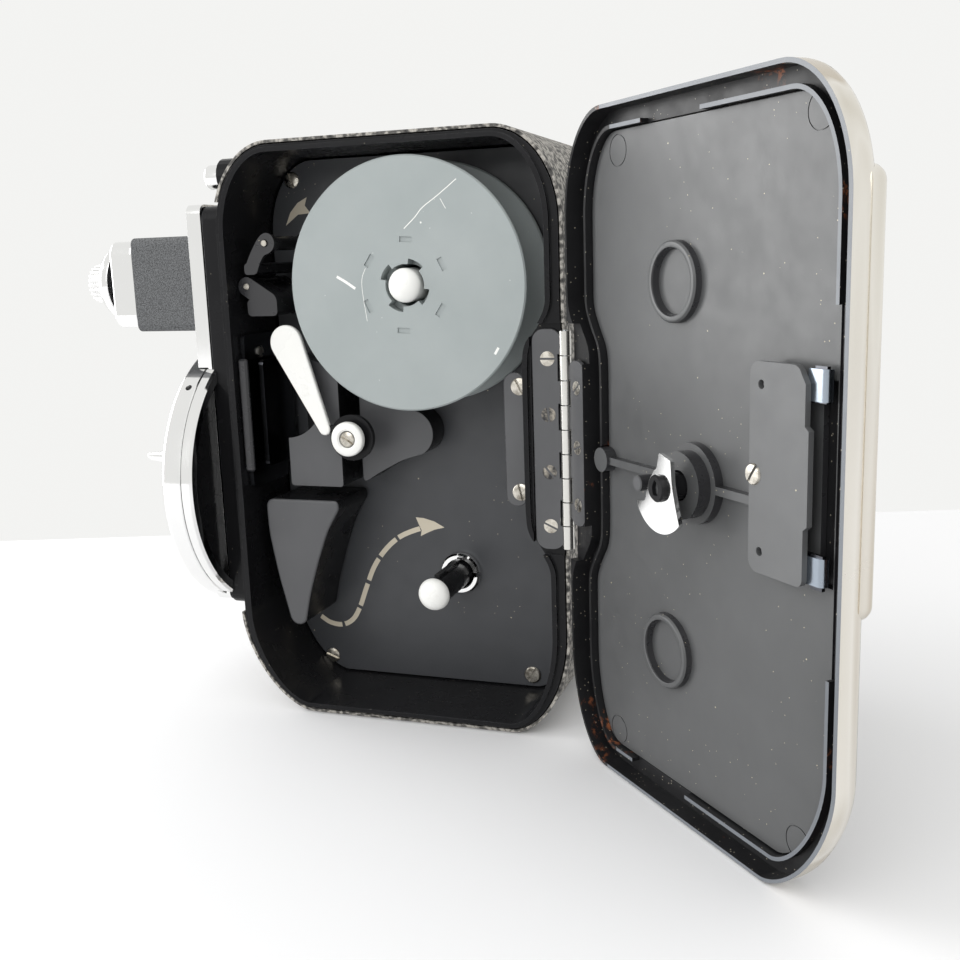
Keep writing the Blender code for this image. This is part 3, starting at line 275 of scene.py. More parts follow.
def box(name, low, high):
    """A box between two corners."""
    shape = bmesh.new()
    bmesh.ops.create_cube(shape, size=1.0)
    bmesh.ops.scale(shape, vec=(Vector(high) - Vector(low)) * MM, verts=shape.verts)
    mesh = bpy.data.meshes.new(name)
    shape.to_mesh(mesh)
    shape.free()
    return added(name, mesh, Matrix.Translation((Vector(low) + Vector(high)) / 2 * MM))


def rod(name, axis, centre, radius, low, high, sides=48):
    """A cylinder along an axis."""
    return slab(name, axis, low, high, ring(centre, radius, sides))


def settle(obj):
    """Apply an object's modifiers and put its place into its mesh."""
    mesh = evaluated_mesh(obj)
    mesh.transform(obj.matrix_world)
    obj.modifiers.clear()
    obj.data = mesh
    obj.matrix_world = Matrix.Identity(4)
    return obj


def combined(target, others, operation):
    """Cut others from a target, or join them to it, at once."""
    for other in others:
        boolean = target.modifiers.new("combine", "BOOLEAN")
        boolean.operation = operation
        boolean.object = other
        boolean.solver = "EXACT"
    settle(target)
    for other in others:
        bpy.data.objects.remove(other, do_unlink=True)
    return target


def cut(target, *others):
    """Take other solids away from a target."""
    return combined(target, others, "DIFFERENCE")


def join(target, *others):
    """Add other solids to a target."""
    return combined(target, others, "UNION")


def soften(obj, width, segments=2, angle=30, worn=False):
    """Round the sharp edges; worn gives the rounded faces the second material, which carries rubbing with a
    painted edge highlight on most pieces and a painted highlight grey alone on the door panel.
    """
    bevel = obj.modifiers.new("soften", "BEVEL")
    bevel.width = width * MM
    bevel.segments = segments
    bevel.limit_method = "ANGLE"
    bevel.angle_limit = math.radians(angle)
    bevel.use_clamp_overlap = True
    if worn:
        bevel.material = 1
    return obj


def merged(name, objects):
    """Several objects as one mesh, which stay separate solids."""
    shape = bmesh.new()
    for obj in objects:
        settle(obj)
        shape.from_mesh(obj.data)
        bpy.data.objects.remove(obj, do_unlink=True)
    mesh = bpy.data.meshes.new(name)
    shape.to_mesh(mesh)
    shape.free()
    return added(name, mesh)


def dressed(obj, body, materials, replaces=(), smooth=35, paint=None):
    """Give a piece its materials and its body, and hide the CAD nodes it stands for.

    paint takes a face's centre in millimetres and its normal, and returns a material's number or None.
    """
    if not isinstance(materials, (list, tuple)):
        materials = [materials]
    obj.data.materials.clear()
    for material in materials:
        obj.data.materials.append(material)
    settle(obj)
    for face in obj.data.polygons:
        number = paint(face.center / MM, face.normal) if paint else None
        if number is not None:
            face.material_index = number
    if body.startswith("door"):
        obj.data.transform(DOOR)
    obj.data.shade_smooth()
    obj.data.set_sharp_from_angle(angle=math.radians(smooth))
    obj.modifiers.new("weighted_normals", "WEIGHTED_NORMAL").keep_sharp = True
    settle(obj)
    obj.data.name = obj.name
    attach(obj, body)
    if replaces:
        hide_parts(*replaces)
    return obj


def across(number):
    """A paint rule that gives a material to the faces square to the camera side of the case, as painted shade
    on the side walls.
    """
    return lambda centre, normal: number if abs(normal.y) < 0.4 else None


def within(loop, point):
    """Whether a point lies inside an outline."""
    inside = False
    for (u0, v0), (u1, v1) in zip(loop, loop[1:] + loop[:1]):
        if (v0 > point[1]) != (v1 > point[1]) and point[0] < u0 + (point[1] - v0) * (u1 - u0) / (v1 - v0):
            inside = not inside
    return inside


def round_rim(obj, y, radius):
    """Round only the edges that lie in a plane across Y."""
    settle(obj)
    shape = bmesh.new()
    shape.from_mesh(obj.data)
    rim = [edge for edge in shape.edges if all(abs(v.co.y / MM - y) < 1e-3 for v in edge.verts)]
    bmesh.ops.bevel(shape, geom=rim, offset=radius * MM, segments=5, profile=0.5,
            affect="EDGES", clamp_overlap=True)
    shape.to_mesh(obj.data)
    shape.free()
    return obj


def split_at(obj, x):
    """Cut the faces of a mesh along a plane across X, so that each side can be painted."""
    shape = bmesh.new()
    shape.from_mesh(obj.data)
    bmesh.ops.bisect_plane(shape, geom=shape.verts[:] + shape.edges[:] + shape.faces[:], dist=1e-7,
            plane_co=(x * MM, 0, 0), plane_no=(1, 0, 0))
    shape.to_mesh(obj.data)
    shape.free()


def keep(node, material):
    """A CAD node that stays as it is, with a better material."""
    obj = frame["nodes"][node]
    obj.data.materials.clear()
    obj.data.materials.append(material)


# ---------------------------------------------------------------- material tools

class Shader:
    """A Principled material and short ways to add procedural detail to it."""

    def __init__(self, name, colour, roughness, metallic=0.0, **plain):
        self.made = bpy.data.materials.new(name)
        self.made.use_nodes = True
        self.tree = self.made.node_tree
        self.shader = self.tree.nodes["Principled BSDF"]
        self.set("Base Color", (*colour, 1.0))
        self.set("Roughness", roughness)
        self.set("Metallic", metallic)
        for socket, value in plain.items():
            self.set(socket.replace("_", " "), value)
        self.place = self.tree.nodes.new("ShaderNodeTexCoord").outputs["Object"]

    def set(self, socket, value):
        self.shader.inputs[socket].default_value = value

    def link(self, output, socket):
        self.tree.links.new(output, self.shader.inputs[socket])

    def node(self, kind, links=(), **values):
        """A node with inputs set by name, some of them linked."""
        made = self.tree.nodes.new(kind)
        for key, value in values.items():
            if hasattr(made, key):
                setattr(made, key, value)
            else:
                made.inputs[key.replace("_", " ")].default_value = value
        for output, socket in links:
            self.tree.links.new(output, made.inputs[socket])
        return made

    def stretched(self, scale):
        """The object coordinates scaled differently along each axis."""
        return self.node("ShaderNodeMapping", [(self.place, "Vector")], Scale=scale).outputs["Vector"]

    def noise(self, scale, detail=3.0, roughness=0.5, place=None):
        """Soft noise; scale is features per metre."""
        made = self.node("ShaderNodeTexNoise", [(place or self.place, "Vector")], Scale=scale,
                Detail=detail, Roughness=roughness)
        return made.outputs["Fac"]

    def grains(self, scale):
        """Distance to the middle of rounded cells."""
        made = self.node("ShaderNodeTexVoronoi", [(self.place, "Vector")], feature="SMOOTH_F1", Scale=scale)
        return made.outputs["Distance"]

    def ramp(self, factor, *stops):
        """A colour ramp through (position, grey or colour) stops."""
        made = self.node("ShaderNodeValToRGB", [(factor, "Fac")])
        elements = made.color_ramp.elements
        while len(elements) < len(stops):
            elements.new(0.5)
        for element, (position, value) in zip(elements, stops):
            element.position = position
            element.color = (*value, 1.0) if isinstance(value, tuple) else (value, value, value, 1.0)
        return made.outputs["Color"]

    def times(self, a, b, operation="MULTIPLY"):
        """Arithmetic on two factors, either of which may be a number."""
        made = self.node("ShaderNodeMath", operation=operation)
        for socket, value in zip(made.inputs, (a, b)):
            if isinstance(value, (int, float)):
                socket.default_value = value
            else:
                self.tree.links.new(value, socket)
        return made.outputs[0]

    def mixed(self, factor, a, b):
        """Colour a where the factor is 0 and b where it is 1; either may be a colour or an output."""
        made = self.node("ShaderNodeMix", data_type="RGBA")
        self.tree.links.new(factor, made.inputs["Factor"])
        for letter, value in (("A", a), ("B", b)):
            socket = [s for s in made.inputs if s.name == letter and s.type == "RGBA"][0]
            if isinstance(value, tuple):
                socket.default_value = (*value[:3], 1.0)
            else:
                self.tree.links.new(value, socket)
        return [s for s in made.outputs if s.type == "RGBA"][0]

    def specks(self, scale, size, share):
        """Small scattered spots: size is a share of a cell, share the part of cells with a spot."""
        made = self.node("ShaderNodeTexVoronoi", [(self.place, "Vector")], Scale=scale)
        near = self.times(made.outputs["Distance"], size, "LESS_THAN")
        split = self.node("ShaderNodeSeparateColor", [(made.outputs["Color"], "Color")])
        chosen = self.times(split.outputs[0], share, "LESS_THAN")
        return self.times(near, chosen)

    def bump(self, height, strength, distance):
        """Relief; distance is in millimetres."""
        made = self.node("ShaderNodeBump", [(height, "Height")], Strength=strength, Distance=distance * MM)
        self.link(made.outputs["Normal"], "Normal")

    def varied_roughness(self, factor, low, high):
        """Roughness that follows a factor."""
        self.link(self.ramp(factor, (0.3, low), (0.7, high)), "Roughness")


# ---------------------------------------------------------------- materials

def black_enamel():
    """Glossy stove enamel with a faint orange peel and a little dust."""
    s = Shader("black_enamel", (0.010, 0.010, 0.011), 0.24)
    cloud = s.noise(160)
    s.varied_roughness(cloud, 0.17, 0.33)
    dust = s.specks(1300, 0.10, 0.07)
    s.link(s.mixed(dust, (0.010, 0.010, 0.011), (0.30, 0.27, 0.21)), "Base Color")
    s.bump(s.noise(700, 2.0), 0.12, 0.05)
    s.set("Specular IOR Level", 0.14)
    return s.made


def worn_enamel_edge_highlight():
    """Enamel on a rounded edge, lighter bluish grey in places as rubbing and as a painted edge highlight,
    with a few small chips.
    """
    s = Shader("worn_enamel_edge_highlight", (0.02, 0.02, 0.022), 0.25)
    # bluish grey patches: partly rubbing, partly a painted highlight along the edges
    rubbed_and_highlight = s.ramp(s.noise(110, 4.0), (0.42, (0.013, 0.013, 0.015)), (0.70, (0.060, 0.062, 0.070)))
    chips = s.ramp(s.noise(800, 4.0, 0.65), (0.66, 0.0), (0.70, 1.0))
    s.link(s.mixed(chips, rubbed_and_highlight, (0.30, 0.29, 0.27)), "Base Color")
    s.varied_roughness(s.noise(300), 0.18, 0.32)
    s.bump(s.noise(1500, 2.0), 0.15, 0.03)
    return s.made


def channel_enamel():
    """Black enamel in the door's light trap, worn through to copper undercoat in patches and dusty."""
    s = Shader("channel_enamel", (0.010, 0.010, 0.011), 0.3)
    patches = s.ramp(s.noise(60, 4.0, 0.6), (0.60, 0.0), (0.66, 1.0))
    broken = s.ramp(s.noise(900, 4.0, 0.7), (0.50, 0.0), (0.56, 1.0))
    copper = s.times(patches, broken)
    base = s.mixed(copper, (0.010, 0.010, 0.011), (0.26, 0.085, 0.035))
    dust = s.specks(1500, 0.16, 0.22)
    s.link(s.mixed(dust, base, (0.34, 0.31, 0.25)), "Base Color")
    s.varied_roughness(s.noise(200), 0.3, 0.5)
    s.bump(s.noise(1200, 3.0), 0.25, 0.06)
    s.set("Specular IOR Level", 0.3)
    return s.made


def satin_enamel(name, colour, dusty, low=0.34, high=0.5):
    """Smooth satin enamel with clouds of wear, fine scratches and dust."""
    s = Shader(name, colour, 0.42)
    cloud = s.noise(35, 4.0, 0.6)
    lighter = tuple(1.25 * c for c in colour)
    base = s.mixed(s.ramp(cloud, (0.35, 0.0), (0.7, 1.0)), colour, lighter)
    drift = s.ramp(s.noise(28, 3.0), (0.45, 0.15), (0.62, 1.0))
    coarse = s.specks(520, 0.07, 0.10 * dusty)
    fine = s.times(s.specks(1500, 0.13, 0.16 * dusty), s.times(drift, 0.5, "GREATER_THAN"))
    dust = s.times(coarse, fine, "MAXIMUM")
    s.link(s.mixed(dust, base, (0.52, 0.46, 0.33)), "Base Color")
    s.varied_roughness(s.noise(240, 4.0), low, high)
    s.bump(s.noise(2600, 2.0), 0.10, 0.03)
    return s.made


def leathercloth(name, scale, dark, mid, light, depth):
    """Pebbled cloth: rounded grains with rubbed, lighter tops and dark gaps."""
    s = Shader(name, mid, 0.68)
    grain = s.grains(scale)
    fine = s.noise(scale * 2.6, 4.0, 0.6)
    height = s.times(s.times(grain, -1.0), s.times(fine, 0.35), "ADD")
    tone = s.times(grain, s.times(fine, -0.55), "ADD")
    s.link(s.ramp(tone, (0.02, light), (0.22, mid), (0.50, dark)), "Base Color")
    s.bump(height, 0.9, depth)
    return s.made


def polished(name, colour, low=0.04, high=0.13):
    """Bright plated metal with smudges and hairline scratches."""
    s = Shader(name, colour, 0.08, 1.0)
    s.varied_roughness(s.noise(120, 5.0, 0.6), low, high)
    s.bump(s.noise(60, 2.0), 0.03, 0.05)
    return s.made


def chrome_with_painted_reflections():
    """Old plating on the door's edge, cream with age, drawn into soft upright streaks of cream and tan that
    are painted reflections.
    """
    s = Shader("aged_chrome_painted_reflections", (0.80, 0.77, 0.71), 0.2, 1.0)
    # upright streaks in the colour: painted reflections of the room
    streak = s.noise(1.0, 2.0, 0.5, s.stretched((130, 130, 5)))
    s.link(s.ramp(streak, (0.38, (0.62, 0.56, 0.47)), (0.50, (0.84, 0.81, 0.75)), (0.64, (0.70, 0.66, 0.58))),
           "Base Color")
    s.varied_roughness(s.noise(120, 4.0), 0.12, 0.28)
    return s.made


def dull_metal(name, colour, low=0.2, high=0.4, dirt=(0.12, 0.10, 0.07)):
    """Plain or plated metal with tarnish."""
    s = Shader(name, colour, 0.3, 1.0)
    stain = s.ramp(s.noise(500, 4.0, 0.65), (0.42, 0.0), (0.75, 1.0))
    s.link(s.mixed(stain, colour, dirt), "Base Color")
    s.varied_roughness(s.noise(900, 3.0), low, high)
    s.bump(s.noise(3000, 2.0), 0.15, 0.03)
    return s.made


def brushed(name, colour, stretch):
    """Metal brushed along one axis."""
    s = Shader(name, colour, 0.25, 1.0)
    lines = s.noise(1.0, 3.0, 0.6, s.stretched(stretch))
    s.varied_roughness(lines, 0.16, 0.34)
    s.bump(lines, 0.08, 0.03)
    return s.made


def painted(name, colour, low=0.22, high=0.36, dirt=(0.45, 0.42, 0.36)):
    """Pale gloss paint, faintly soiled."""
    s = Shader(name, colour, 0.28)
    soil = s.ramp(s.noise(260, 5.0, 0.7), (0.62, 0.0), (0.85, 0.5))
    s.link(s.mixed(soil, colour, dirt), "Base Color")
    s.varied_roughness(s.noise(180, 3.0), low, high)
    s.bump(s.noise(900, 2.0), 0.05, 0.03)
    return s.made


def spool_plastic():
    """Moulded grey plastic with flow marks, rubbing and a few pale flecks."""
    s = Shader("spool_plastic", (0.30, 0.33, 0.33), 0.45)
    cloud = s.ramp(s.noise(55, 4.0, 0.55), (0.3, 0.0), (0.75, 1.0))
    base = s.mixed(cloud, (0.285, 0.318, 0.318), (0.33, 0.36, 0.36))
    flecks = s.specks(800, 0.07, 0.05)
    s.link(s.mixed(flecks, base, (0.7, 0.7, 0.68)), "Base Color")
    s.varied_roughness(s.noise(320, 5.0, 0.6), 0.38, 0.56)
    s.bump(s.noise(420, 4.0, 0.6), 0.12, 0.06)
    return s.made


def clear_glass():
    """Coated lens glass."""
    s = Shader("lens_glass", (0.96, 0.97, 1.0), 0.02, 0.0, Transmission_Weight=1.0, IOR=1.52,
            Coat_Weight=0.4, Coat_Tint=(0.75, 0.8, 1.0, 1.0))
    s.varied_roughness(s.noise(80, 3.0), 0.01, 0.04)
    return s.made


def plain_floor():
    """Pale matt table top."""
    s = Shader("pale_table", (0.77, 0.77, 0.78), 0.6)
    s.link(s.ramp(s.noise(3, 3.0), (0.3, (0.76, 0.76, 0.77)), (0.7, (0.79, 0.79, 0.80))), "Base Color")
    return s.made


BLACK = black_enamel()
WORN_AND_HIGHLIT_EDGE = worn_enamel_edge_highlight()
CHANNEL = channel_enamel()
FLOOR_GREY = satin_enamel("floor_enamel", (0.040, 0.042, 0.0465), 0.55)
PANEL_GREY = satin_enamel("panel_enamel", (0.061, 0.0625, 0.064), 0.55, 0.33, 0.43)
GUARD_GREY = satin_enamel("guard_enamel", (0.066, 0.067, 0.071), 0.15, 0.34, 0.46)
GUIDE_BLACK = satin_enamel("guide_enamel", (0.022, 0.022, 0.024), 0.1, 0.24, 0.34)
# lighter grey for the door panel's rounded edges: a painted highlight
EDGE_HIGHLIGHT_GREY = satin_enamel("edge_highlight_enamel", (0.09, 0.095, 0.10), 0.2, 0.2, 0.3)
BRACKET_GREY = satin_enamel("bracket_enamel", (0.086, 0.088, 0.090), 0.1, 0.42, 0.54)
# lighter grey for the door's lip and rib crest: a painted highlight and reflection
LIP_HIGHLIGHT_GREY = satin_enamel("lip_highlight_enamel", (0.12, 0.13, 0.145), 0.1, 0.3, 0.4)
CLOTH = leathercloth("leathercloth", 1150,
        (0.014, 0.0135, 0.013), (0.105, 0.10, 0.092), (0.40, 0.38, 0.345), 0.45)
FINE_CLOTH = leathercloth("fine_leathercloth", 4200,
        (0.032, 0.033, 0.035), (0.060, 0.062, 0.065), (0.12, 0.125, 0.13), 0.10)
CHROME = polished("chrome", (0.86, 0.86, 0.855))
# aged chrome with painted reflection streaks
AGED_CHROME_REFLECTIONS = chrome_with_painted_reflections()
NICKEL = dull_metal("nickel", (0.60, 0.57, 0.51))
BRIGHT_NICKEL = polished("bright_nickel", (0.62, 0.61, 0.58), 0.14, 0.26)
BLACKENED = dull_metal("blackened_screw", (0.05, 0.05, 0.052), 0.3, 0.5, (0.55, 0.5, 0.42))
STEEL = brushed("steel", (0.60, 0.62, 0.65), (300, 300, 3000))
BLUED = polished("blued_steel", (0.085, 0.088, 0.098), 0.16, 0.28)
SPRING_BLUE = polished("spring_steel", (0.30, 0.34, 0.39), 0.12, 0.3)
BRASS = dull_metal("brass", (0.78, 0.62, 0.34), 0.22, 0.4, (0.35, 0.24, 0.12))
WHITE = painted("white_enamel", (0.80, 0.80, 0.775))
CREAM = painted("cream_paint", (0.60, 0.54, 0.43), 0.4, 0.55, (0.30, 0.26, 0.20))
SPOOL_GREY = spool_plastic()
GLASS = clear_glass()
TABLE = plain_floor()


# ---------------------------------------------------------------- case

SHOULDER_Y = COVER_LOW.y
LIP_BOX = (CASE_LOW.x + 1.2, CASE_HIGH.x - 1.6, CASE_LOW.z + 0.5, CASE_HIGH.z - 0.6)
ROOM_BOX = (CASE_LOW.x + 2.2, CASE_HIGH.x - 2.6, CASE_LOW.z + 1.4, CASE_HIGH.z - 1.5)
AROUND = (-70.0, 70.0, -10.0, 140.0)
HINGE_BED_Z = (39.4, 85.9)
COUNTER = flat(middle("counter_dial"))
SPEED = flat(axis_of("speed_dial_turn"))
SHUTTER = facing(axis_of("shutter_turn"))
FINDER_BORE = 7.2                       # radius of the way through the finder
LIGHT_WAY = 3.6                         # radius of the hole behind the taking lens


def build_case():
    """Cast body with its lip, the leathercloth round it and the chamber floor."""
    body = slab("case_body", "Y", RIM_Y, CASE_HIGH.y, case_outline(inset(CASE_LOW, CASE_HIGH, 0)))
    cut(body,
        slab("step", "Y", RIM_Y - 5, SHOULDER_Y, case_outline(AROUND), case_outline(LIP_BOX, detour=30.6)),
        slab("mouth", "Y", RIM_Y - 5, -14.0, case_outline(ROOM_BOX, detour=29.6)),
        slab("room", "Y", -14.1, CASE_HIGH.y - 1.8, case_outline(ROOM_BOX)),
        box("bed", (31.2, RIM_Y - 5, HINGE_BED_Z[0]), (40.0, -20.4, HINGE_BED_Z[1])),
        rod("finder_front", "X", FINDER, FINDER_BORE, -40, -30),
        rod("finder_rear", "X", FINDER, FINDER_BORE, 30, 40),
        rod("crank_way", "Y", BARREL, 4.4, 20, 30),
        rod("counter_way", "Y", COUNTER, 6.2, 20, 30),
        rod("speed_way", "Y", SPEED, 2.6, 20, 30))
    soften(body, 0.3, 2, worn=True)
    dressed(body, "case", [BLACK, WORN_AND_HIGHLIT_EDGE], ["case_shell"])

    cover_box = inset(COVER_LOW, COVER_HIGH, 0)
    cover = slab("case_leathercloth", "Y", SHOULDER_Y, COVER_HIGH.y, case_outline(cover_box))
    cut(cover,
        slab("hollow", "Y", -40, COVER_HIGH.y - 0.8, case_outline(inset(COVER_LOW, COVER_HIGH, 0.6))),
        box("front", (-45, -30, 22.2), (-30, 20.4, 112.0)),
        box("base", (-20.4, -17.4, -2), (23.4, 25.4, 2.5)),
        box("hinge", (31, -30, HINGE_BED_Z[0]), (50, -20.4, HINGE_BED_Z[1])),
        rod("eye", "X", FINDER, 9.0, 30, 45),
        rod("crank", "Y", BARREL, 9.4, 20, 30),
        rod("counter", "Y", COUNTER, 7.0, 20, 30),
        rod("speed", "Y", SPEED, 9.4, 20, 30),
        rod("button", "X", RELEASE, 4.0, -45, -26))
    soften(cover, 0.25, 2)
    dressed(cover, "case", CLOTH, ["case_covering"])

    floor = slab("chamber_floor", "Y", FLOOR_LOW.y, FLOOR_HIGH.y,
            case_outline(inset(FLOOR_LOW, FLOOR_HIGH, 0)),
            ring(SUPPLY, 3.4), ring(TAKEUP, 3.3))
    soften(floor, 0.12, 1)
    dressed(floor, "case", FLOOR_GREY, ["floor_plate"])


def screw_head(x, y, z, radius, rise, toward, turn):
    """A slotted head on a surface at y; toward is -1 for a head that faces -Y and 1 for +Y."""
    top = y + toward * rise
    head = lathe("head", "Y", (x, z), [(0, y - toward * 0.3), (radius, y - toward * 0.3),
            (radius, y + toward * rise * 0.55), (radius * 0.86, y + toward * rise * 0.9), (0, top)], 40)
    depths = sorted((top + toward * 0.3, top - toward * 0.45))
    slot = box("slot", (x - radius * 1.3, depths[0], z - radius * 0.14),
            (x + radius * 1.3, depths[1], z + radius * 0.14))
    return cut(head, turned(slot, "Y", (x, z), turn))


def screws(name, body, material, places):
    """A group of slotted heads: each place is x, y, z, radius, rise and the turn of its slot."""
    toward = 1 if body == "door" else -1
    group = merged(name, [screw_head(x, y, z, r, rise, toward, turn) for x, y, z, r, rise, turn in places])
    dressed(group, body, material)


def build_fasteners():
    """Screws of the floor, the hinge and its backing plate."""
    floor = FLOOR_LOW.y
    screws("floor_screws", "case", NICKEL,
           [(-29.0, floor, 117.0, 1.75, 0.5, 70), (-26.0, floor, 6.0, 1.75, 0.5, 20),
            (24.0, floor, 5.5, 1.9, 0.6, 120)])
    plate = span("hinge_backing_plate")[0].y
    screws("backing_screws", "case", NICKEL,
           [(28.0, plate, 73.2, 1.75, 0.45, 62), (27.8, plate, 51.6, 1.75, 0.45, 75)])
    leaf = -21.5
    screws("case_leaf_screws", "case", NICKEL,
           [(34.7, leaf, 79.0, 1.45, 0.06, 0), (34.7, leaf, 45.5, 1.45, 0.06, 25)])
    screws("case_leaf_dark_screws", "case", BLACKENED,
           [(34.7, leaf, 68.0, 1.45, 0.04, 85), (34.7, leaf, 56.5, 1.45, 0.04, 50)])
    screws("door_leaf_screws", "door", NICKEL,
           [(34.5, -21.8, 73.6, 1.35, 0.06, 40), (34.5, -21.8, 62.0, 1.35, 0.06, 20),
            (34.5, -21.8, 50.6, 1.35, 0.06, 65)])


def build_hinge():
    """Both leaves and the bright knuckles round the pin."""
    bottom, top, count = 41.0, 84.5, 9
    pitch = (top - bottom) / count
    reach = HINGE.x - 0.8
    for body, name, plate_y, x0, z0, z1, first in (
            ("case", "case_leaf", (-21.5, -20.7), 31.6, bottom - 0.3, top + 0.3, 0),
            ("door", "door_leaf", (-22.6, -21.8), 31.8, 46.4, 78.9, 1)):
        leaf = slab(f"{name}_plate", "Y", *plate_y, rounded_box(x0, reach, z0, z1, 2.4))
        knuckles, notches = [], []
        for i in range(count):
            low = bottom + i * pitch
            if i % 2 == first:
                pin = (HINGE.x, HINGE.y)
                knuckle = slab("knuckle", "Z", low + 0.1, low + pitch - 0.1, ring(pin, 1.15, 32),
                        ring(pin, 0.62, 24))
                soften(knuckle, 0.12, 2)
                knuckles.append(knuckle)
            else:
                notches.append(box("notch", (HINGE.x - 1.55, -30, low - 0.15),
                        (HINGE.x + 3, -10, low + pitch + 0.15)))
        cut(leaf, *notches)
        soften(leaf, 0.1, 2, worn=True)
        dressed(leaf, body, [GUARD_GREY, WORN_AND_HIGHLIT_EDGE], [f"{body}_hinge_leaf"])
        dressed(merged(f"{name}_knuckles", knuckles), body, BRIGHT_NICKEL)
    plate = slab("backing_plate", "Y", *[span("hinge_backing_plate")[i].y for i in (0, 1)],
            rounded_box(24.6, 29.2, 48.6, 76.0, 2.2))
    soften(plate, 0.2, 2, worn=True)
    dressed(plate, "case", [GUARD_GREY, WORN_AND_HIGHLIT_EDGE], ["hinge_backing_plate"])


# ---------------------------------------------------------------- film path

LEVER_TIP = (-24.2, 82.2)
LEVER_TAIL = (-16.3, 63.7)


def build_gate():
    """Gate block with its round pocket, lever with washer and screw, and the plain gate parts."""
    low, high = span("gate_block")
    outline = (arc(-26.4, 51.0, 0.7, 180, 270, 5) + arc(-15.1, 51.0, 0.7, 270, 360, 5)
            + arc(-18.4, 73.2, 4.0, 0, 70, 12) + [(-22.0, high.z), (low.x, high.z)])
    block = slab("film_gate_block", "Y", low.y, high.y, outline)
    cut(block, rod("pocket", "Y", (-27.5, 70.0), 9.0, -20, -4.5, 96))
    soften(block, 0.35, 3, worn=True)
    # side faces and the pocket's floor get black enamel as painted shade
    dressed(block, "case", [GUARD_GREY, WORN_AND_HIGHLIT_EDGE, BLACK], ["gate_block"],
            paint=lambda centre, normal: 2 if abs(normal.y) < 0.4 or centre.y > -7 else None)

    low, high = span("gate_lever")
    blade = slab("threading_lever", "Y", low.y, low.y + 1.2, capsule(LEVER_TIP, LEVER_TAIL, 3.8, 1.35, 28))
    cut(blade, box("notch", (-15.5, -20, 66.2), (-14.0, -10, 67.3)))
    soften(blade, 0.4, 4)
    dressed(blade, "gate_lever", WHITE, ["gate_lever"])
    boss = rod("lever_boss", "Y", LEVER, 5.0, high.y - 1.3, high.y)
    join(boss, box("neck", (-15.8, low.y + 0.3, 62.9), (-12.6, high.y - 0.7, 64.5)))
    cut(boss, rod("hole", "Y", LEVER, 1.5, -25, -10))
    soften(boss, 0.2, 2)
    dressed(boss, "gate_lever", BLACK)

    near = span("lever_shoulder_screw")[0].y
    washer = lathe("lever_washer", "Y", LEVER,
            [(1.85, near + 0.9), (1.6, near + 1.3), (3.7, near + 1.3), (3.7, near + 0.4),
            (3.55, near + 0.15), (3.3, near), (2.2, near), (1.85, near + 0.25)])
    dressed(washer, "case", WHITE, ["lever_shoulder_screw"])
    screws("lever_screw", "case", NICKEL, [(LEVER[0], near + 0.55, LEVER[1], 1.6, 0.4, 35)])
    post = rod("lever_post", "Y", LEVER, 1.2, near + 1.3, -9.0)
    dressed(post, "case", STEEL)

    wall = span("gate_plate")[1].x
    stud = lathe("gate_plate_screw", "X", (-12.6, 80.0),
            [(0, wall), (1.35, wall), (1.35, wall + 0.3), (1.1, wall + 0.5), (0, wall + 0.55)], 40)
    dressed(stud, "case", NICKEL)
    keep("gate_plate", BLUED)
    keep("film_edge_guide", GUIDE_BLACK)
    keep("pressure_plate", BLUED)


def build_guards():
    """Tapered loop cover and boot-shaped spool guard."""
    low, high = span("loop_cover")
    outline = [(-32.2, high.z), (-32.0, 40.0), (-30.3, 30.0)] + arc(-25.9, 21.0, 2.2, 195, 330, 12)
    outline += [(-22.6, 26.0), (-20.0, 34.0), (-17.3, 41.0), (-14.2, 46.0), (-14.6, high.z)]
    cover = slab("film_loop_cover", "Y", low.y, high.y, smooth_corners(outline, 2.2))
    soften(cover, 0.7, 4, angle=40)
    # the side faces get black enamel as painted shade
    dressed(cover, "case", [GUARD_GREY, BLACK], ["loop_cover"],
            smooth=50, paint=across(1))

    low, high = span("spool_guard")
    outline = [(-12.0, 50.2), (-7.6, 52.9), (-2.5, 55.6)] + arc(-0.1, 61.6, 5.2, -60, 95, 24)
    outline += [(-5.0, 68.6), (-9.3, 71.4), (-12.0, 74.2)]
    guard = slab("boot_guard", "Y", low.y, high.y, smooth_corners(outline, 1.6))
    cut(guard, rod("tap", "Y", LEVER, 1.35, -20, -5.0))
    soften(guard, 0.6, 4, angle=40)
    # the side faces get black enamel as painted shade
    dressed(guard, "case", [GUARD_GREY, BLACK], ["spool_guard"],
            smooth=50, paint=across(1))


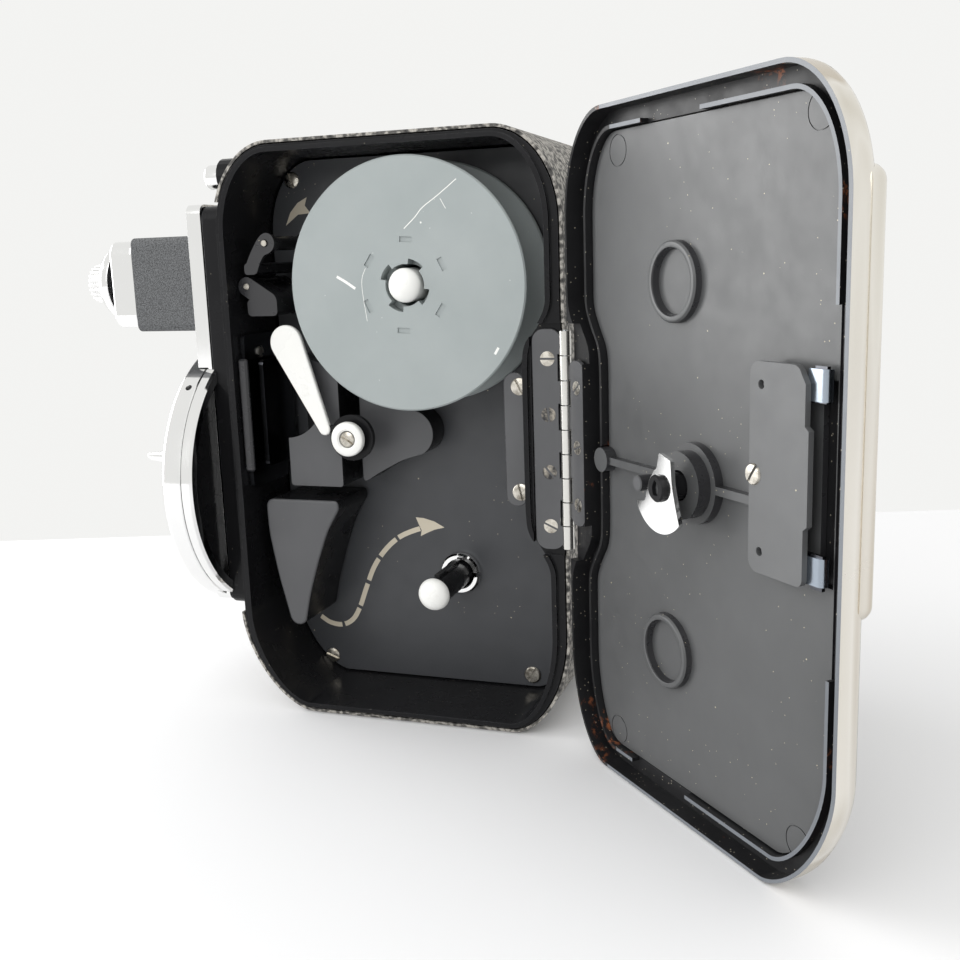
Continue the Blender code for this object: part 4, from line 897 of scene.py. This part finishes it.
def build_guides():
    """Arm, guide block and rollers above the gate, with their pin ends."""
    low, high = span("guide_arm")
    outline = [(-29.2, 96.8), (-28.1, 99.4), (-27.1, 100.8), (-25.8, 101.1), (-24.7, 102.1), (-24.4, 103.6),
            (-25.2, 105.0), (-26.4, 105.4), (-27.5, 105.0), (-28.6, 103.9), (-30.1, 101.6), (-31.4, 99.2),
            (-32.0, 97.2), (-31.6, 96.8)]
    arm = slab("roller_arm", "Y", low.y, low.y + 1.0, smooth_corners(outline, 0.8))
    join(arm, slab("foot", "Y", low.y, high.y, rounded_box(-32.0, -29.2, 96.8, 99.2, 0.8)))
    cut(arm, rod("hole", "Y", UPPER_ROLLER, 0.8, -25, -15))
    soften(arm, 0.25, 3, worn=True)
    # the side faces get black enamel as painted shade
    dressed(arm, "case", [GUIDE_BLACK, WORN_AND_HIGHLIT_EDGE, BLACK], ["guide_arm"], paint=across(2))

    low, high = span("upper_guide_block")
    guide = slab("film_guide_block", "Y", low.y, high.y, capsule(LOWER_ROLLER, (-27.8, 91.0), 2.0, 2.1))
    join(guide, slab("heel", "Y", low.y, high.y, rounded_box(-32.8, -25.7, 88.0, 91.6, 1.0)))
    cut(guide, rod("seat", "Y", LOWER_ROLLER, 2.6, -16.6, -3.0))
    soften(guide, 0.35, 3, worn=True)
    # the side faces get black enamel as painted shade
    dressed(guide, "case", [GUIDE_BLACK, WORN_AND_HIGHLIT_EDGE, BLACK], ["upper_guide_block"], paint=across(2))

    for name, body, place, top in (("upper_pin_end", "upper_roller", UPPER_ROLLER, -19.9),
            ("lower_pin_end", "case", LOWER_ROLLER, low.y - 0.3)):
        pin = lathe(name, "Y", place,
                [(0, top), (0.55, top), (0.68, top + 0.12), (0.68, top + 0.6), (0, top + 0.6)], 24)
        dressed(pin, body, NICKEL)
    for name, place, reach, radius in (("upper", UPPER_ROLLER, (-18.1, -1.6), 1.9),
            ("lower", LOWER_ROLLER, (-16.3, -3.3), 2.0)):
        near, far = reach
        roller = lathe(f"{name}_film_roller", "Y", place,
                [(0, near), (radius - 0.15, near), (radius, near + 0.15), (radius, near + 1.3),
                (radius - 0.4, near + 1.7), (radius - 0.4, far - 1.7), (radius, far - 1.3),
                (radius, far), (0, far)], 40)
        dressed(roller, f"{name}_roller", BLACK, [f"{name}_roller"])


def ribbon(points, width, y, thickness=0.03):
    """A painted stripe: a flat strip along a line on the plane y, facing -Y."""
    left, right = [], []
    for i, point in enumerate(points):
        before, after = Vector(points[max(i - 1, 0)]), Vector(points[min(i + 1, len(points) - 1)])
        along = (after - before).normalized()
        side = Vector((-along.y, along.x)) * width / 2
        left.append(tuple(Vector(point) + side))
        right.append(tuple(Vector(point) - side))
    return slab("stripe", "Y", y - thickness, y - 0.005, left + right[::-1])


def curve_through(points, count=12):
    """Catmull-Rom points through a route."""
    route = [Vector(p) for p in (points[0], *points, points[-1])]
    line = []
    for i in range(1, len(route) - 2):
        a, b, c, d = route[i - 1:i + 3]
        for k in range(count):
            t = k / count
            line.append(0.5 * (2 * b + (c - a) * t + (2 * a - 5 * b + 4 * c - d) * t ** 2
                    + (3 * b - a - 3 * c + d) * t ** 3))
    return [*line, route[-2]]


def dashes(points, length, gap):
    """Split a line into stretches of a length with gaps between them."""
    runs, run, walked, drawing = [], [points[0]], 0.0, True
    for start, end in zip(points, points[1:]):
        walked += (end - start).length
        if drawing:
            run.append(end)
        if walked >= (length if drawing else gap):
            if drawing:
                runs.append(run)
            run, walked, drawing = [end], 0.0, not drawing
    return runs


def build_film_path():
    """Cream dashed line and arrowheads that show how the film runs."""
    y = FLOOR_LOW.y
    route = [(-28.6, 15.6), (-26.2, 14.2), (-23.0, 13.9), (-20.2, 15.4), (-18.2, 18.6), (-16.2, 23.6),
            (-14.0, 28.6), (-11.0, 32.8), (-7.4, 36.0), (-3.4, 37.9), (0.4, 39.0)]
    line = curve_through(route, 24)
    stripes = [ribbon(run, 1.15, y) for run in dashes(line, 5.9, 0.75)]
    heads = [[(-2.9, 41.0), (-1.0, 40.9), (1.6, 40.2), (4.0, 38.9), (1.6, 38.3), (-0.4, 37.4), (-1.9, 36.6),
            (-1.6, 38.0), (-2.2, 39.3)],
            [(-31.2, 107.2), (-29.9, 110.0), (-28.0, 112.0), (-25.6, 113.2), (-26.2, 111.4), (-24.9, 109.7),
            (-28.0, 109.5)]]
    stripes += [slab("head", "Y", y - 0.03, y - 0.005, head) for head in heads]
    dressed(merged("film_path_line", stripes), "case", CREAM)


# ---------------------------------------------------------------- spools

def build_spool():
    """Supply spool with drive notches, moulded windows, scratches and its domed spindle."""
    low, high = span("supply_spool")
    near, far = low.y, high.y
    radius = (high.x - low.x) / 2
    rim = 0.3
    profile = [(4.2, near), (radius - rim, near), (radius, near + rim), (radius, near + 1.1 - rim),
            (radius - rim, near + 1.1), (11, near + 1.1), (11, far - 1.1), (radius - rim, far - 1.1),
            (radius, far - 1.1 + rim), (radius, far - rim), (radius - rim, far), (4.2, far)]
    spool = lathe("film_spool", "Y", SUPPLY, profile, 160)
    cutters = []
    half = 19
    for angle in (60, 147, 245, 331):
        sector = (arc(*SUPPLY, 5.35, angle - half, angle + half, 10)
                + arc(*SUPPLY, 3.8, angle + half, angle - half, 10))
        cutters.append(slab("notch", "Y", near - 1, near + 3, sector))
    for k in range(6):
        window = box("window", (SUPPLY[0] - 1.35, near - 1, SUPPLY[1] + 8.5),
                (SUPPLY[0] + 1.35, near + 0.3, SUPPLY[1] + 9.6))
        cutters.append(turned(window, "Y", SUPPLY, 4 + 60 * k))
    cut(spool, *cutters)
    dressed(spool, "supply", SPOOL_GREY, ["supply_spool"], smooth=25)

    marks = [([(0.4, 11.1), (2.8, 13.2), (4.5, 15.0), (7.8, 17.2), (11.8, 20.1)], 0.18),
            ([(-14.9, 2.1), (-13.0, 1.0), (-10.9, -0.4)], 0.55),
            ([(19.4, -12.6), (18.6, -13.9)], 0.5),
            ([(-8.6, -7.0), (-9.4, 0.5), (-8.4, 3.6)], 0.1),
            ([(3.9, 12.1), (4.2, 12.2)], 0.35),
            ([(8.3, 16.6), (9.4, 14.6)], 0.12)]
    scratches = []
    for route, width in marks:
        line = curve_through([(SUPPLY[0] + u, SUPPLY[1] + v) for u, v in route], 6)
        scratches.append(ribbon(line, width, near, 0.02))
    dressed(merged("spool_scratches", scratches), "supply", WHITE)

    low = span("supply_spindle")[0].y
    cap = lathe("supply_spindle_cap", "Y", SUPPLY,
            [(0, -1.6), (2.9, -1.6), (3.45, -2.0), *dome(3.45, low, 1.9), (0, low)], 64)
    dressed(cap, "supply", WHITE, ["supply_spindle"])


def dome(radius, top, rise):
    """The curve of a domed spindle end, from its shoulder up."""
    angles = [i * math.pi / 24 for i in range(12)]
    return [(radius * math.cos(a), top + rise - rise * math.sin(a)) for a in angles]


def build_takeup():
    """Black take-up spindle with its key and domed white end, and the bright collar round its foot."""
    low, high = span("takeup_spindle")
    shaft = lathe("takeup_shaft", "Y", TAKEUP,
            [(0, low.y + 2.2), (2.9, low.y + 2.2), (2.9, 5.0), (1.3, 5.0), (1.3, high.y), (0, high.y)], 64)
    x, z = TAKEUP
    join(shaft, box("key", (x - 0.6, low.y + 4.0, z), (x + 0.6, -3.6, z + 3.7)))
    soften(shaft, 0.15, 2)
    dressed(shaft, "takeup", BLACK, ["takeup_spindle"])
    cap = lathe("takeup_cap", "Y", TAKEUP,
            [(0, low.y + 2.5), (3.2, low.y + 2.5), *dome(3.5, low.y, 2.0), (0, low.y)], 64)
    dressed(cap, "takeup", WHITE)
    collar_low, collar_high = span("takeup_collar")
    near, far = collar_low.y, collar_high.y
    collar = lathe("bright_collar", "Y", TAKEUP,
            [(4.7, far), (4.7, near + 0.4), (4.3, near), (3.5, near), (3.2, near + 0.3), (3.2, far)], 64)
    cut(collar, box("split", (x + 2.0, near - 1, z - 0.5), (x + 6, far + 1, z + 0.5)))
    dressed(collar, "case", CHROME, ["takeup_collar"])


# ---------------------------------------------------------------- door

DOOR_BOX = inset(DOOR_LOW, DOOR_HIGH, 0)
PANEL_Y = -24.8
RIB_Y = -23.4
CHANNEL_Y = -25.0
STOP_PIN = (9.2, 59.6)
RIM_OF_LIP = -21.4                      # faces above this belong to the lip's edge
BRIGHT_END = -23.9                      # the front wall is bright as far back as this
LIP_END = 24.0                          # the lip and rib crest carry the painted highlight grey as far back as this


def build_door():
    """Door casting with its light trap, bright front wall, covering and raised side plate."""
    casting = slab("door_casting", "Y", DOOR_LOW.y, DOOR_HIGH.y, case_outline(DOOR_BOX))
    round_rim(casting, DOOR_LOW.y, 3.2)
    blank = added("door_blank", casting.data.copy())
    x0, x1, z0, z1 = DOOR_BOX
    channel = case_outline((x0 + 0.8, x1 - 0.6, z0 + 0.6, z1 - 0.7), detour=31.2)
    rib = case_outline((x0 + 4.3, x1 - 3.4, z0 + 2.9, z1 - 3.3), detour=28.6)
    well = case_outline((x0 + 5.0, x1 - 4.1, z0 + 3.6, z1 - 4.0), detour=27.9)
    cut(casting,
        slab("channel", "Y", CHANNEL_Y, -10, channel, rib),
        slab("above_rib", "Y", RIB_Y, -10, channel),
        slab("well", "Y", DOOR_LOW.y + 1.0, -10, well),
        box("bed", (31.3, -22.9, HINGE_BED_Z[0]), (45, -10, HINGE_BED_Z[1])),
        box("front_gap", (-36.0, CHANNEL_Y, 37.2), (-32.0, -10, 91.0)),
        box("top_gap", (-2.6, CHANNEL_Y, 119), (14.2, -10, 122.5)),
        box("low_gap", (1.2, CHANNEL_Y, 1.5), (18.3, -10, 5.0)),
        rod("boss_way", "Y", (27.2, LOCK[1]), 2.6, DOOR_LOW.y + 1.0, -10),
        rod("key_way", "Y", LOCK, 2.6, -35, -20))
    soften(casting, 0.2, 2, worn=True)
    settle(casting)
    split_at(casting, BRIGHT_END)
    split_at(casting, LIP_END)

    def finish_of(centre, normal):
        """Lip and rib crest in a lighter grey as a painted highlight, and the bright wall at the front."""
        crest = centre.y > RIM_OF_LIP or abs(centre.y - RIB_Y) < 0.1 and normal.y > 0.9
        if centre.x < LIP_END and crest:
            return 3
        return 2 if centre.x < BRIGHT_END and not within(channel, flat(centre)) else None

    dressed(casting, "door", [CHANNEL, WORN_AND_HIGHLIT_EDGE, AGED_CHROME_REFLECTIONS, LIP_HIGHLIGHT_GREY], ["door_shell"],
            paint=finish_of)

    low, high = span("door_covering", shut=True)
    cover = slab("door_leathercloth", "Y", low.y, high.y, case_outline(inset(low, high, 0.8)),
        ring(LOCK, 8.0))
    cut(cover, box("front", (-45, -40, 46.0), (-24.6, -20, 110.0)))
    soften(cover, 0.25, 2)
    dressed(cover, "door", CLOTH, ["door_covering"])

    low, high = span("door_side_plate", shut=True)
    face = low.y + 0.6
    plate = slab("raised_side_plate", "Y", face, -24.6, rounded_box(low.x, high.x, low.z, high.z, 2.5))
    round_rim(plate, face, 2.0)
    cut(plate, blank, box("inner_side", (-35.5, high.y, 0), (0, 0, 130)))
    soften(plate, 0.15, 2, angle=50)
    # aged chrome with painted reflection streaks
    dressed(plate, "door", AGED_CHROME_REFLECTIONS, ["door_side_plate"])


def build_door_panel():
    """Inner panel with rings, ribs, bosses, corner pads and the opening beside the bracket."""
    low, high = span("door_panel", shut=True)
    panel = slab("inner_panel", "Y", low.y, PANEL_Y, case_outline(inset(low, high, 0), detour=27.6),
            ring(LOCK, 2.6))
    grooves = [slab("pad", "Y", PANEL_Y - 0.16, PANEL_Y + 1, ring(place, 2.8), ring(place, 2.62))
            for place in ((23.5, 116.5), (-28.5, 117.0), (-27.0, 8.0), (25.0, 7.0))]
    cut(panel, box("opening", (-33.2, -30, 50.5), (-30.4, -20, 80.5)), *grooves)
    root = PANEL_Y - 0.5
    tube = [(5.4, root), (6.9, root), (6.8, PANEL_Y + 1.1), (6.5, PANEL_Y + 1.45), (6.1, PANEL_Y + 1.5),
            (5.7, PANEL_Y + 1.45), (5.5, PANEL_Y + 1.1)]
    raised = [
        lathe("ring", "Y", SUPPLY, tube),
        lathe("ring", "Y", TAKEUP, tube),
        slab("lock_base", "Y", root, PANEL_Y + 1.6, ring(LOCK, 6.9), ring(LOCK, 2.6)),
        slab("lock_boss", "Y", PANEL_Y + 1.0, PANEL_Y + 4.0, ring(LOCK, 5.7), ring(LOCK, 2.6)),
        box("rib_front", (-24.0, root, LOCK[1] - 0.7), (-5.5, PANEL_Y + 1.6, LOCK[1] + 0.7)),
        box("rib_rear", (4.5, root, LOCK[1] - 0.7), (25.5, PANEL_Y + 1.6, LOCK[1] + 0.7)),
        rod("pin_boss", "Y", (27.2, LOCK[1]), 2.3, root, PANEL_Y + 2.2),
        rod("stop_pin", "Y", STOP_PIN, 1.4, root, PANEL_Y + 5.6)]
    join(panel, *raised)
    soften(panel, 0.2, 2, worn=True)
    # rounded edges get the lighter grey as a painted highlight; side faces get black enamel as painted shade
    dressed(panel, "door", [PANEL_GREY, EDGE_HIGHLIGHT_GREY, GUIDE_BLACK], ["door_panel"],
            paint=lambda centre, normal: 2 if abs(normal.y) < 0.5 else None)
    end = rod("stop_pin_end", "Y", STOP_PIN, 1.2, PANEL_Y + 5.6, PANEL_Y + 5.7)
    dressed(end, "door", GUARD_GREY)


def round_lock(*points):
    """Points measured from the lock's axis."""
    return [(LOCK[0] + u, LOCK[1] + v) for u, v in points]


def build_lock():
    """Key post with a leaf-shaped slot, the two-lobed cam and the outside key."""
    low, high = span("lock_key", shut=True)
    top = high.y
    post = lathe("lock_post", "Y", LOCK,
            [(0, -24.0), (2.3, -24.0), (2.3, top - 0.3), (2.0, top), (0, top)], 48)
    leaf = round_lock((-0.9, -1.1), (0.6, -1.2), (0.9, 0.2), (0.1, 1.6), (-0.9, 0.4))
    cut(post, slab("leaf", "Y", top - 0.8, top + 1, smooth_corners(leaf, 0.4)))
    dressed(post, "door_lock", BLACK)
    floor = slab("lock_post_slot", "Y", top - 0.85, top - 0.75, smooth_corners(leaf, 0.4))
    dressed(floor, "door_lock", BRACKET_GREY)

    cam_low, cam_high = span("lock_cam", shut=True)
    lobes = arc(*LOCK, 7.7, 224, 333, 24)
    lobes += round_lock((6.6, -3.2), (4.4, -2.9), (3.2, 0.6), (2.0, 2.3), (0.8, 3.3), (0.2, 5.8),
            (-3.1, 5.0), (-3.5, 0.9), (-4.6, -2.8))
    cam = slab("lock_plate", "Y", cam_low.y, cam_high.y, smooth_corners(lobes, 0.35, 3), ring(LOCK, 2.35))
    soften(cam, 0.15, 2)
    dressed(cam, "door_lock", CHROME, ["lock_cam"])

    wall = DOOR_LOW.y
    key = lathe("door_key", "Y", LOCK,
            [(0, wall + 0.9), (2.0, wall + 0.9), (2.0, wall - 0.3), (7.0, wall - 0.3), (7.0, wall - 1.7),
            (6.6, wall - 2.1), (0, wall - 2.1)])
    wing = rounded_box(LOCK[0] - 6.0, LOCK[0] + 6.0, LOCK[1] - 1.0, LOCK[1] + 1.0, 0.9)
    join(key, slab("wing", "Y", low.y, wall - 1.7, wing))
    soften(key, 0.25, 2)
    dressed(key, "door_lock", CHROME, ["lock_key"])


def build_bracket():
    """Pressure bracket on the door, its screw and the curled ends of the spring under it."""
    low, high = span("pressure_bracket", shut=True)
    near = high.y
    outline = ([(-30.2, 53.0)] + arc(-29.0, 51.6, 1.2, 180, 270, 6) + arc(-20.0, 52.4, 2.0, 270, 360, 8)
            + arc(-20.0, 80.6, 2.0, 0, 90, 8) + arc(-27.6, 80.8, 1.8, 90, 160, 6)
            + [(-30.2, 80.0), (-30.2, 74.0), (-31.0, 73.4), (-31.0, 59.6), (-30.2, 59.0)])
    bracket = slab("gate_bracket", "Y", near - 1.0, near, outline, ring((-20.6, 79.2), 0.7, 24),
            ring((-20.6, 53.8), 0.7, 24))
    join(bracket, *[box("foot", (-24.0, PANEL_Y + 0.3, z - 2), (-21.0, near - 0.5, z + 2))
            for z in (57.0, 76.0)])
    soften(bracket, 0.25, 3)
    dressed(bracket, "door", BRACKET_GREY, ["pressure_bracket"])
    screws("bracket_screw", "door", NICKEL, [(-19.0, near - 0.6, 65.5, 1.75, 1.0, 55)])

    curl = [(-29.6, -22.6)] + arc(-32.3, -23.6, 1.0, 90, 200, 10)
    inner = arc(-32.3, -23.6, 0.7, 200, 90, 10) + [(-29.6, -22.9)]
    strips = [slab("curl", "Z", z0, z1, [*curl, *inner]) for z0, z1 in ((77.6, 82.2), (51.0, 55.2))]
    dressed(merged("spring_ends", strips), "door", SPRING_BLUE)
    keep("bracket_spring", BLUED)


# ---------------------------------------------------------------- front

def build_front():
    """Black shutter housing, polished front plate with the turret's round seat, and release button."""
    low, high = span("front_housing")
    housing = slab("shutter_housing", "X", low.x, high.x, rounded_box(low.y, high.y, low.z, high.z, 3.0))
    cut(housing, rod("shutter_room", "X", SHUTTER, 15.5, low.x + 0.8, -30, 96), *front_ways())
    soften(housing, 0.3, 2, worn=True)
    dressed(housing, "case", [BLACK, WORN_AND_HIGHLIT_EDGE], ["front_housing"])

    low, high = span("front_plate")
    plate = slab("polished_front_plate", "X", low.x, high.x, rounded_box(low.y, high.y, low.z, high.z, 2.0))
    cut(plate, rod("seat", "X", TURRET, 30.95, -60, high.x - 0.9, 160), *front_ways())
    soften(plate, 0.3, 3)
    dressed(plate, "case", CHROME, ["front_plate"])

    low, high = span("release_button")
    button = lathe("release_plunger", "X", RELEASE,
            [(0, high.x), (2.6, high.x), (2.6, low.x + 0.5), (2.35, low.x + 0.1), (2.1, low.x),
            (1.3, low.x), (1.1, low.x + 0.3), (1.1, low.x + 1.8), (0, low.x + 1.8)], 48)
    dressed(button, "release", CHROME, ["release_button"])
    keep("release_collar", BLACK)


def front_ways():
    """Cutters for the finder tube, the turret's axle and the light's way."""
    return (rod("finder_way", "X", FINDER, FINDER_BORE, -60, -30), rod("axle", "X", TURRET, 2.3, -60, -30),
            rod("light", "X", middle_of_socket(0), LIGHT_WAY, -60, -30))


def middle_of_socket(number):
    """y and z of a lens socket's axis, on the turret."""
    angle = math.radians(112.5 + 120 * number)
    return (TURRET[0] + 17.0 * math.cos(angle), TURRET[1] + 17.0 * math.sin(angle))


def build_turret():
    """Turret: fixed back with a dark recess, turning disc with threaded sockets, hub and handle."""
    low, high = span("turret_base_plate")
    radius = (high.z - low.z) / 2
    deep = high.x + 2.0
    back = lathe("turret_back_ring", "X", TURRET,
            [(28.4, deep), (radius - 0.5, deep), (radius, deep - 0.5), (radius, low.x + 0.1),
            (radius - 0.1, low.x), (28.4, low.x)], 160)
    cut(back, box("housing_space", (high.x + 0.1, -17.6, 0), (-30, 20.2, 130)))
    dressed(back, "case", CHROME, ["turret_base_plate"])
    recess = lathe("turret_back_disc", "X", TURRET,
            [(2.4, high.x - 0.1), (28.2, high.x - 0.1), (28.2, low.x), (2.4, low.x)], 128)
    cut(recess, rod("light", "X", middle_of_socket(0), LIGHT_WAY, -60, -30))
    dressed(recess, "case", BLACK)

    low, high = span("turret_disc")
    face = low.x + 0.5
    disc = lathe("lens_turret", "X", TURRET,
            [(2.4, high.x), (radius - 0.2, high.x), (radius, high.x - 0.2), (radius, face + 1.3),
            (radius - 0.15, face + 0.8), (radius - 0.55, face + 0.35), (radius - 1.4, face),
            (2.4, face)], 160)
    for number in range(3):
        place = middle_of_socket(number)
        join(disc, rod("seat", "X", place, 9.0, low.x, face + 2))
        cut(disc, lathe("thread", "X", place, [(0, -56), *socket_profile(low.x, high.x), (0, -40)], 64))
    hole, above = (high.x - 1.9, TURRET[0]), TURRET[1] + 28.0
    cut(disc, on_rim(rod("pin_hole", "Z", hole, 0.75, above, TURRET[1] + 34)))
    soften(disc, 0.12, 2, angle=40)
    dressed(disc, "turret", CHROME, ["turret_disc"])

    plug = on_rim(rod("pin_hole_floor", "Z", hole, 0.7, TURRET[1] + 28.1, TURRET[1] + 30.1))
    dressed(plug, "turret", BLACK)

    hub_low, hub_high = span("turret_hub")
    hub = lathe("turret_cap", "X", TURRET,
            [(0, hub_high.x), (2.0, hub_high.x), (2.0, -50.0), (4.7, -50.0), (5.0, -50.3), (4.9, -51.0),
            (4.4, -51.6), (3.2, -51.85), (0, hub_low.x)], 64)
    y, z = TURRET
    cut(hub, box("slot", (hub_low.x - 1, y - 4, z - 0.5), (hub_low.x + 0.9, y + 4, z + 0.5)))
    dressed(hub, "case", CHROME, ["turret_hub"])
    low, high = span("turret_handle")
    place = facing((low + high) / 2)
    handle = lathe("turret_grip", "X", place,
            [(0, high.x), (2.2, high.x), (2.15, high.x - 0.3), (1.55, high.x - 1.3), (1.3, high.x - 2.5),
            (0.85, high.x - 5.8), (0.7, low.x + 0.1), (0.5, low.x), (0, low.x)], 48)
    dressed(handle, "turret", CHROME, ["turret_handle"])


def on_rim(piece):
    """Turn a piece that stands over the turret's axis round to the pin hole's place."""
    return turned(piece, "X", TURRET, 44.2)


def socket_profile(front, back):
    """Radius and height points of a lens thread, front to back."""
    points, height, pitch = [(7.6, -56)], front + 0.6, 0.8
    points.append((7.6, height))
    while height < back - 0.8:
        points += [(7.9, height + pitch / 2), (7.6, height + pitch)]
        height += pitch
    return [*points, (7.6, -40)]


def build_finder():
    """Finder housing in fine leathercloth, bezel, front lens, serrated knob and eyepiece."""
    low, high = span("finder_housing")
    housing = slab("finder_body", "X", low.x, high.x, rounded_box(low.y, high.y, low.z, high.z, 1.6))
    cut(housing, rod("way", "X", FINDER, FINDER_BORE, -70, -30))
    soften(housing, 0.2, 2)
    dressed(housing, "case", FINE_CLOTH, ["finder_housing"])

    low, high = span("finder_bezel")
    bezel = slab("finder_frame", "X", low.x, high.x, rounded_box(low.y, high.y, low.z, high.z, 3.0),
            ring(FINDER, FINDER_BORE))
    soften(bezel, 1.1, 5, angle=50)
    dressed(bezel, "case", CHROME, ["finder_bezel"])
    low, high = span("finder_front_lens")
    angles = [i * math.pi / 20 for i in range(11)]
    curve = [(6.9 * math.sin(a), low.x + 1.2 - 1.2 * math.cos(a)) for a in angles]
    lens = lathe("front_lens", "X", FINDER, [*curve, (6.9, high.x), (0, high.x)], 64)
    dressed(lens, "case", GLASS, ["finder_front_lens"])
    low, high = span("eyepiece_lens")
    lens = lathe("rear_lens", "X", FINDER, [(0, high.x), (3.0, high.x - 0.15), (4.9, high.x - 0.6),
            (4.9, low.x + 0.6), (3.0, low.x + 0.15), (0, low.x)], 64)
    dressed(lens, "case", GLASS, ["eyepiece_lens"])

    low, high = span("finder_focal_knob")
    neck, flange = high.x - 1.5, high.x - 3.1
    knob = lathe("focal_knob", "X", KNOB,
            [(0, high.x), (7.2, high.x), (7.2, neck), (8.55, neck), (8.7, neck - 0.15), (8.7, flange + 0.1),
            (8.5, flange - 0.3), (7.9, flange - 1.2), (7.0, flange - 1.9), (6.0, flange - 2.4),
            (4.6, flange - 2.8), (0, flange - 3.1)])
    loop, teeth = [], 24
    for i in range(teeth):
        start = 360 / teeth * i
        loop += arc(*KNOB, 4.4, start, start + 6.5, 3) + arc(*KNOB, 4.05, start + 8.5, start + 12.5, 1)
    join(knob, soften(slab("grip", "X", low.x, flange - 2.2, loop), 0.12, 1, angle=60))
    soften(knob, 0.1, 2, angle=40)
    root = high.x - 0.02
    # the neck between bezel and flange gets black enamel as painted shade
    dressed(knob, "focal_knob", [CHROME, BLACK], ["finder_focal_knob"],
            paint=lambda centre, normal: 1 if neck < centre.x < root and abs(normal.x) < 0.5 else None)

    low, high = span("finder_eyepiece")
    cup = lathe("eye_cup", "X", FINDER,
            [(7.4, high.x), (8.3, high.x), (8.6, high.x - 0.3), (8.6, 38.0), (6.8, 38.0), (6.8, low.x),
            (5.2, low.x), (5.2, 39.8)], 64)
    dressed(cup, "case", BLACK, ["finder_eyepiece"])


# ---------------------------------------------------------------- motor side

def build_motor_side():
    """CAD nodes that only need a material: base, dials, crank and the mechanism inside."""
    for node, material in (("base_plate", CHROME), ("tripod_bush", BRASS), ("mechanism_plate", BRASS),
            ("crank_bearing", CHROME), ("crank_arm", CHROME), ("crank_handle", BLACK),
            ("speed_dial", CHROME), ("counter_dial", WHITE), ("spring_barrel", BRASS),
            ("mainspring", STEEL), ("crown_wheel", BRASS), ("shutter_disc", BLACK),
            ("governor_rotor", BRASS), ("film_claw", STEEL), ("takeup_gear", BRASS),
            ("hinge_pin", STEEL)):
        keep(node, material)


# ---------------------------------------------------------------- stage

CAMERA_PLACE = (0.09397, -0.23409, 0.09919)
CAMERA_TURN_DEG = (78.755, 1.952, 18.800)
CAMERA_LENS = 42.38
TABLE_END = 0.412                       # how far ahead of the camera the table ends


def build_stage():
    """Pale table under a pale world colour, a broad window on the left, soft fill and the camera."""
    floor = box("table_top", (-900, -500, -20), (900, TABLE_END / MM, 0))
    facing_camera = Matrix.Rotation(math.radians(CAMERA_TURN_DEG[2]), 4, "Z")
    below_camera = Matrix.Translation((*CAMERA_PLACE[:2], 0))
    floor.matrix_world = below_camera @ facing_camera @ floor.matrix_world
    settle(floor)
    floor.data.materials.append(TABLE)

    world = bpy.data.worlds.new("studio")
    bpy.context.scene.world = world
    world.use_nodes = True
    background = world.node_tree.nodes["Background"]
    background.inputs["Color"].default_value = (0.90, 0.90, 0.885, 1.0)
    background.inputs["Strength"].default_value = 1.0

    aim = Vector((0, 0, 0.06))
    for name, place, size, power in (("window", (-1.1, 0.0, 0.35), 1.0, 14),
            ("front_fill", (-0.2, -1.0, 0.7), 1.0, 5.5),
            ("ceiling", (0.1, -0.2, 1.3), 1.2, 2)):
        light = bpy.data.lights.new(name, "AREA")
        light.size = size
        light.energy = power
        lamp = added(name, light)
        lamp.location = place
        lamp.rotation_euler = (aim - Vector(place)).to_track_quat("-Z", "Y").to_euler()

    data = bpy.data.cameras.new("camera")
    data.lens = CAMERA_LENS
    data.sensor_width = 36
    data.clip_start = 0.01
    camera = added("camera", data)
    camera.location = CAMERA_PLACE
    camera.rotation_euler = [math.radians(a) for a in CAMERA_TURN_DEG]
    bpy.context.scene.camera = camera
    bpy.context.scene.view_settings.view_transform = "Standard"


for build in (build_case, build_hinge, build_fasteners, build_gate, build_guards, build_guides,
        build_film_path, build_spool, build_takeup, build_door, build_door_panel, build_lock, build_bracket,
        build_front, build_turret, build_finder, build_motor_side, build_stage):
    build()
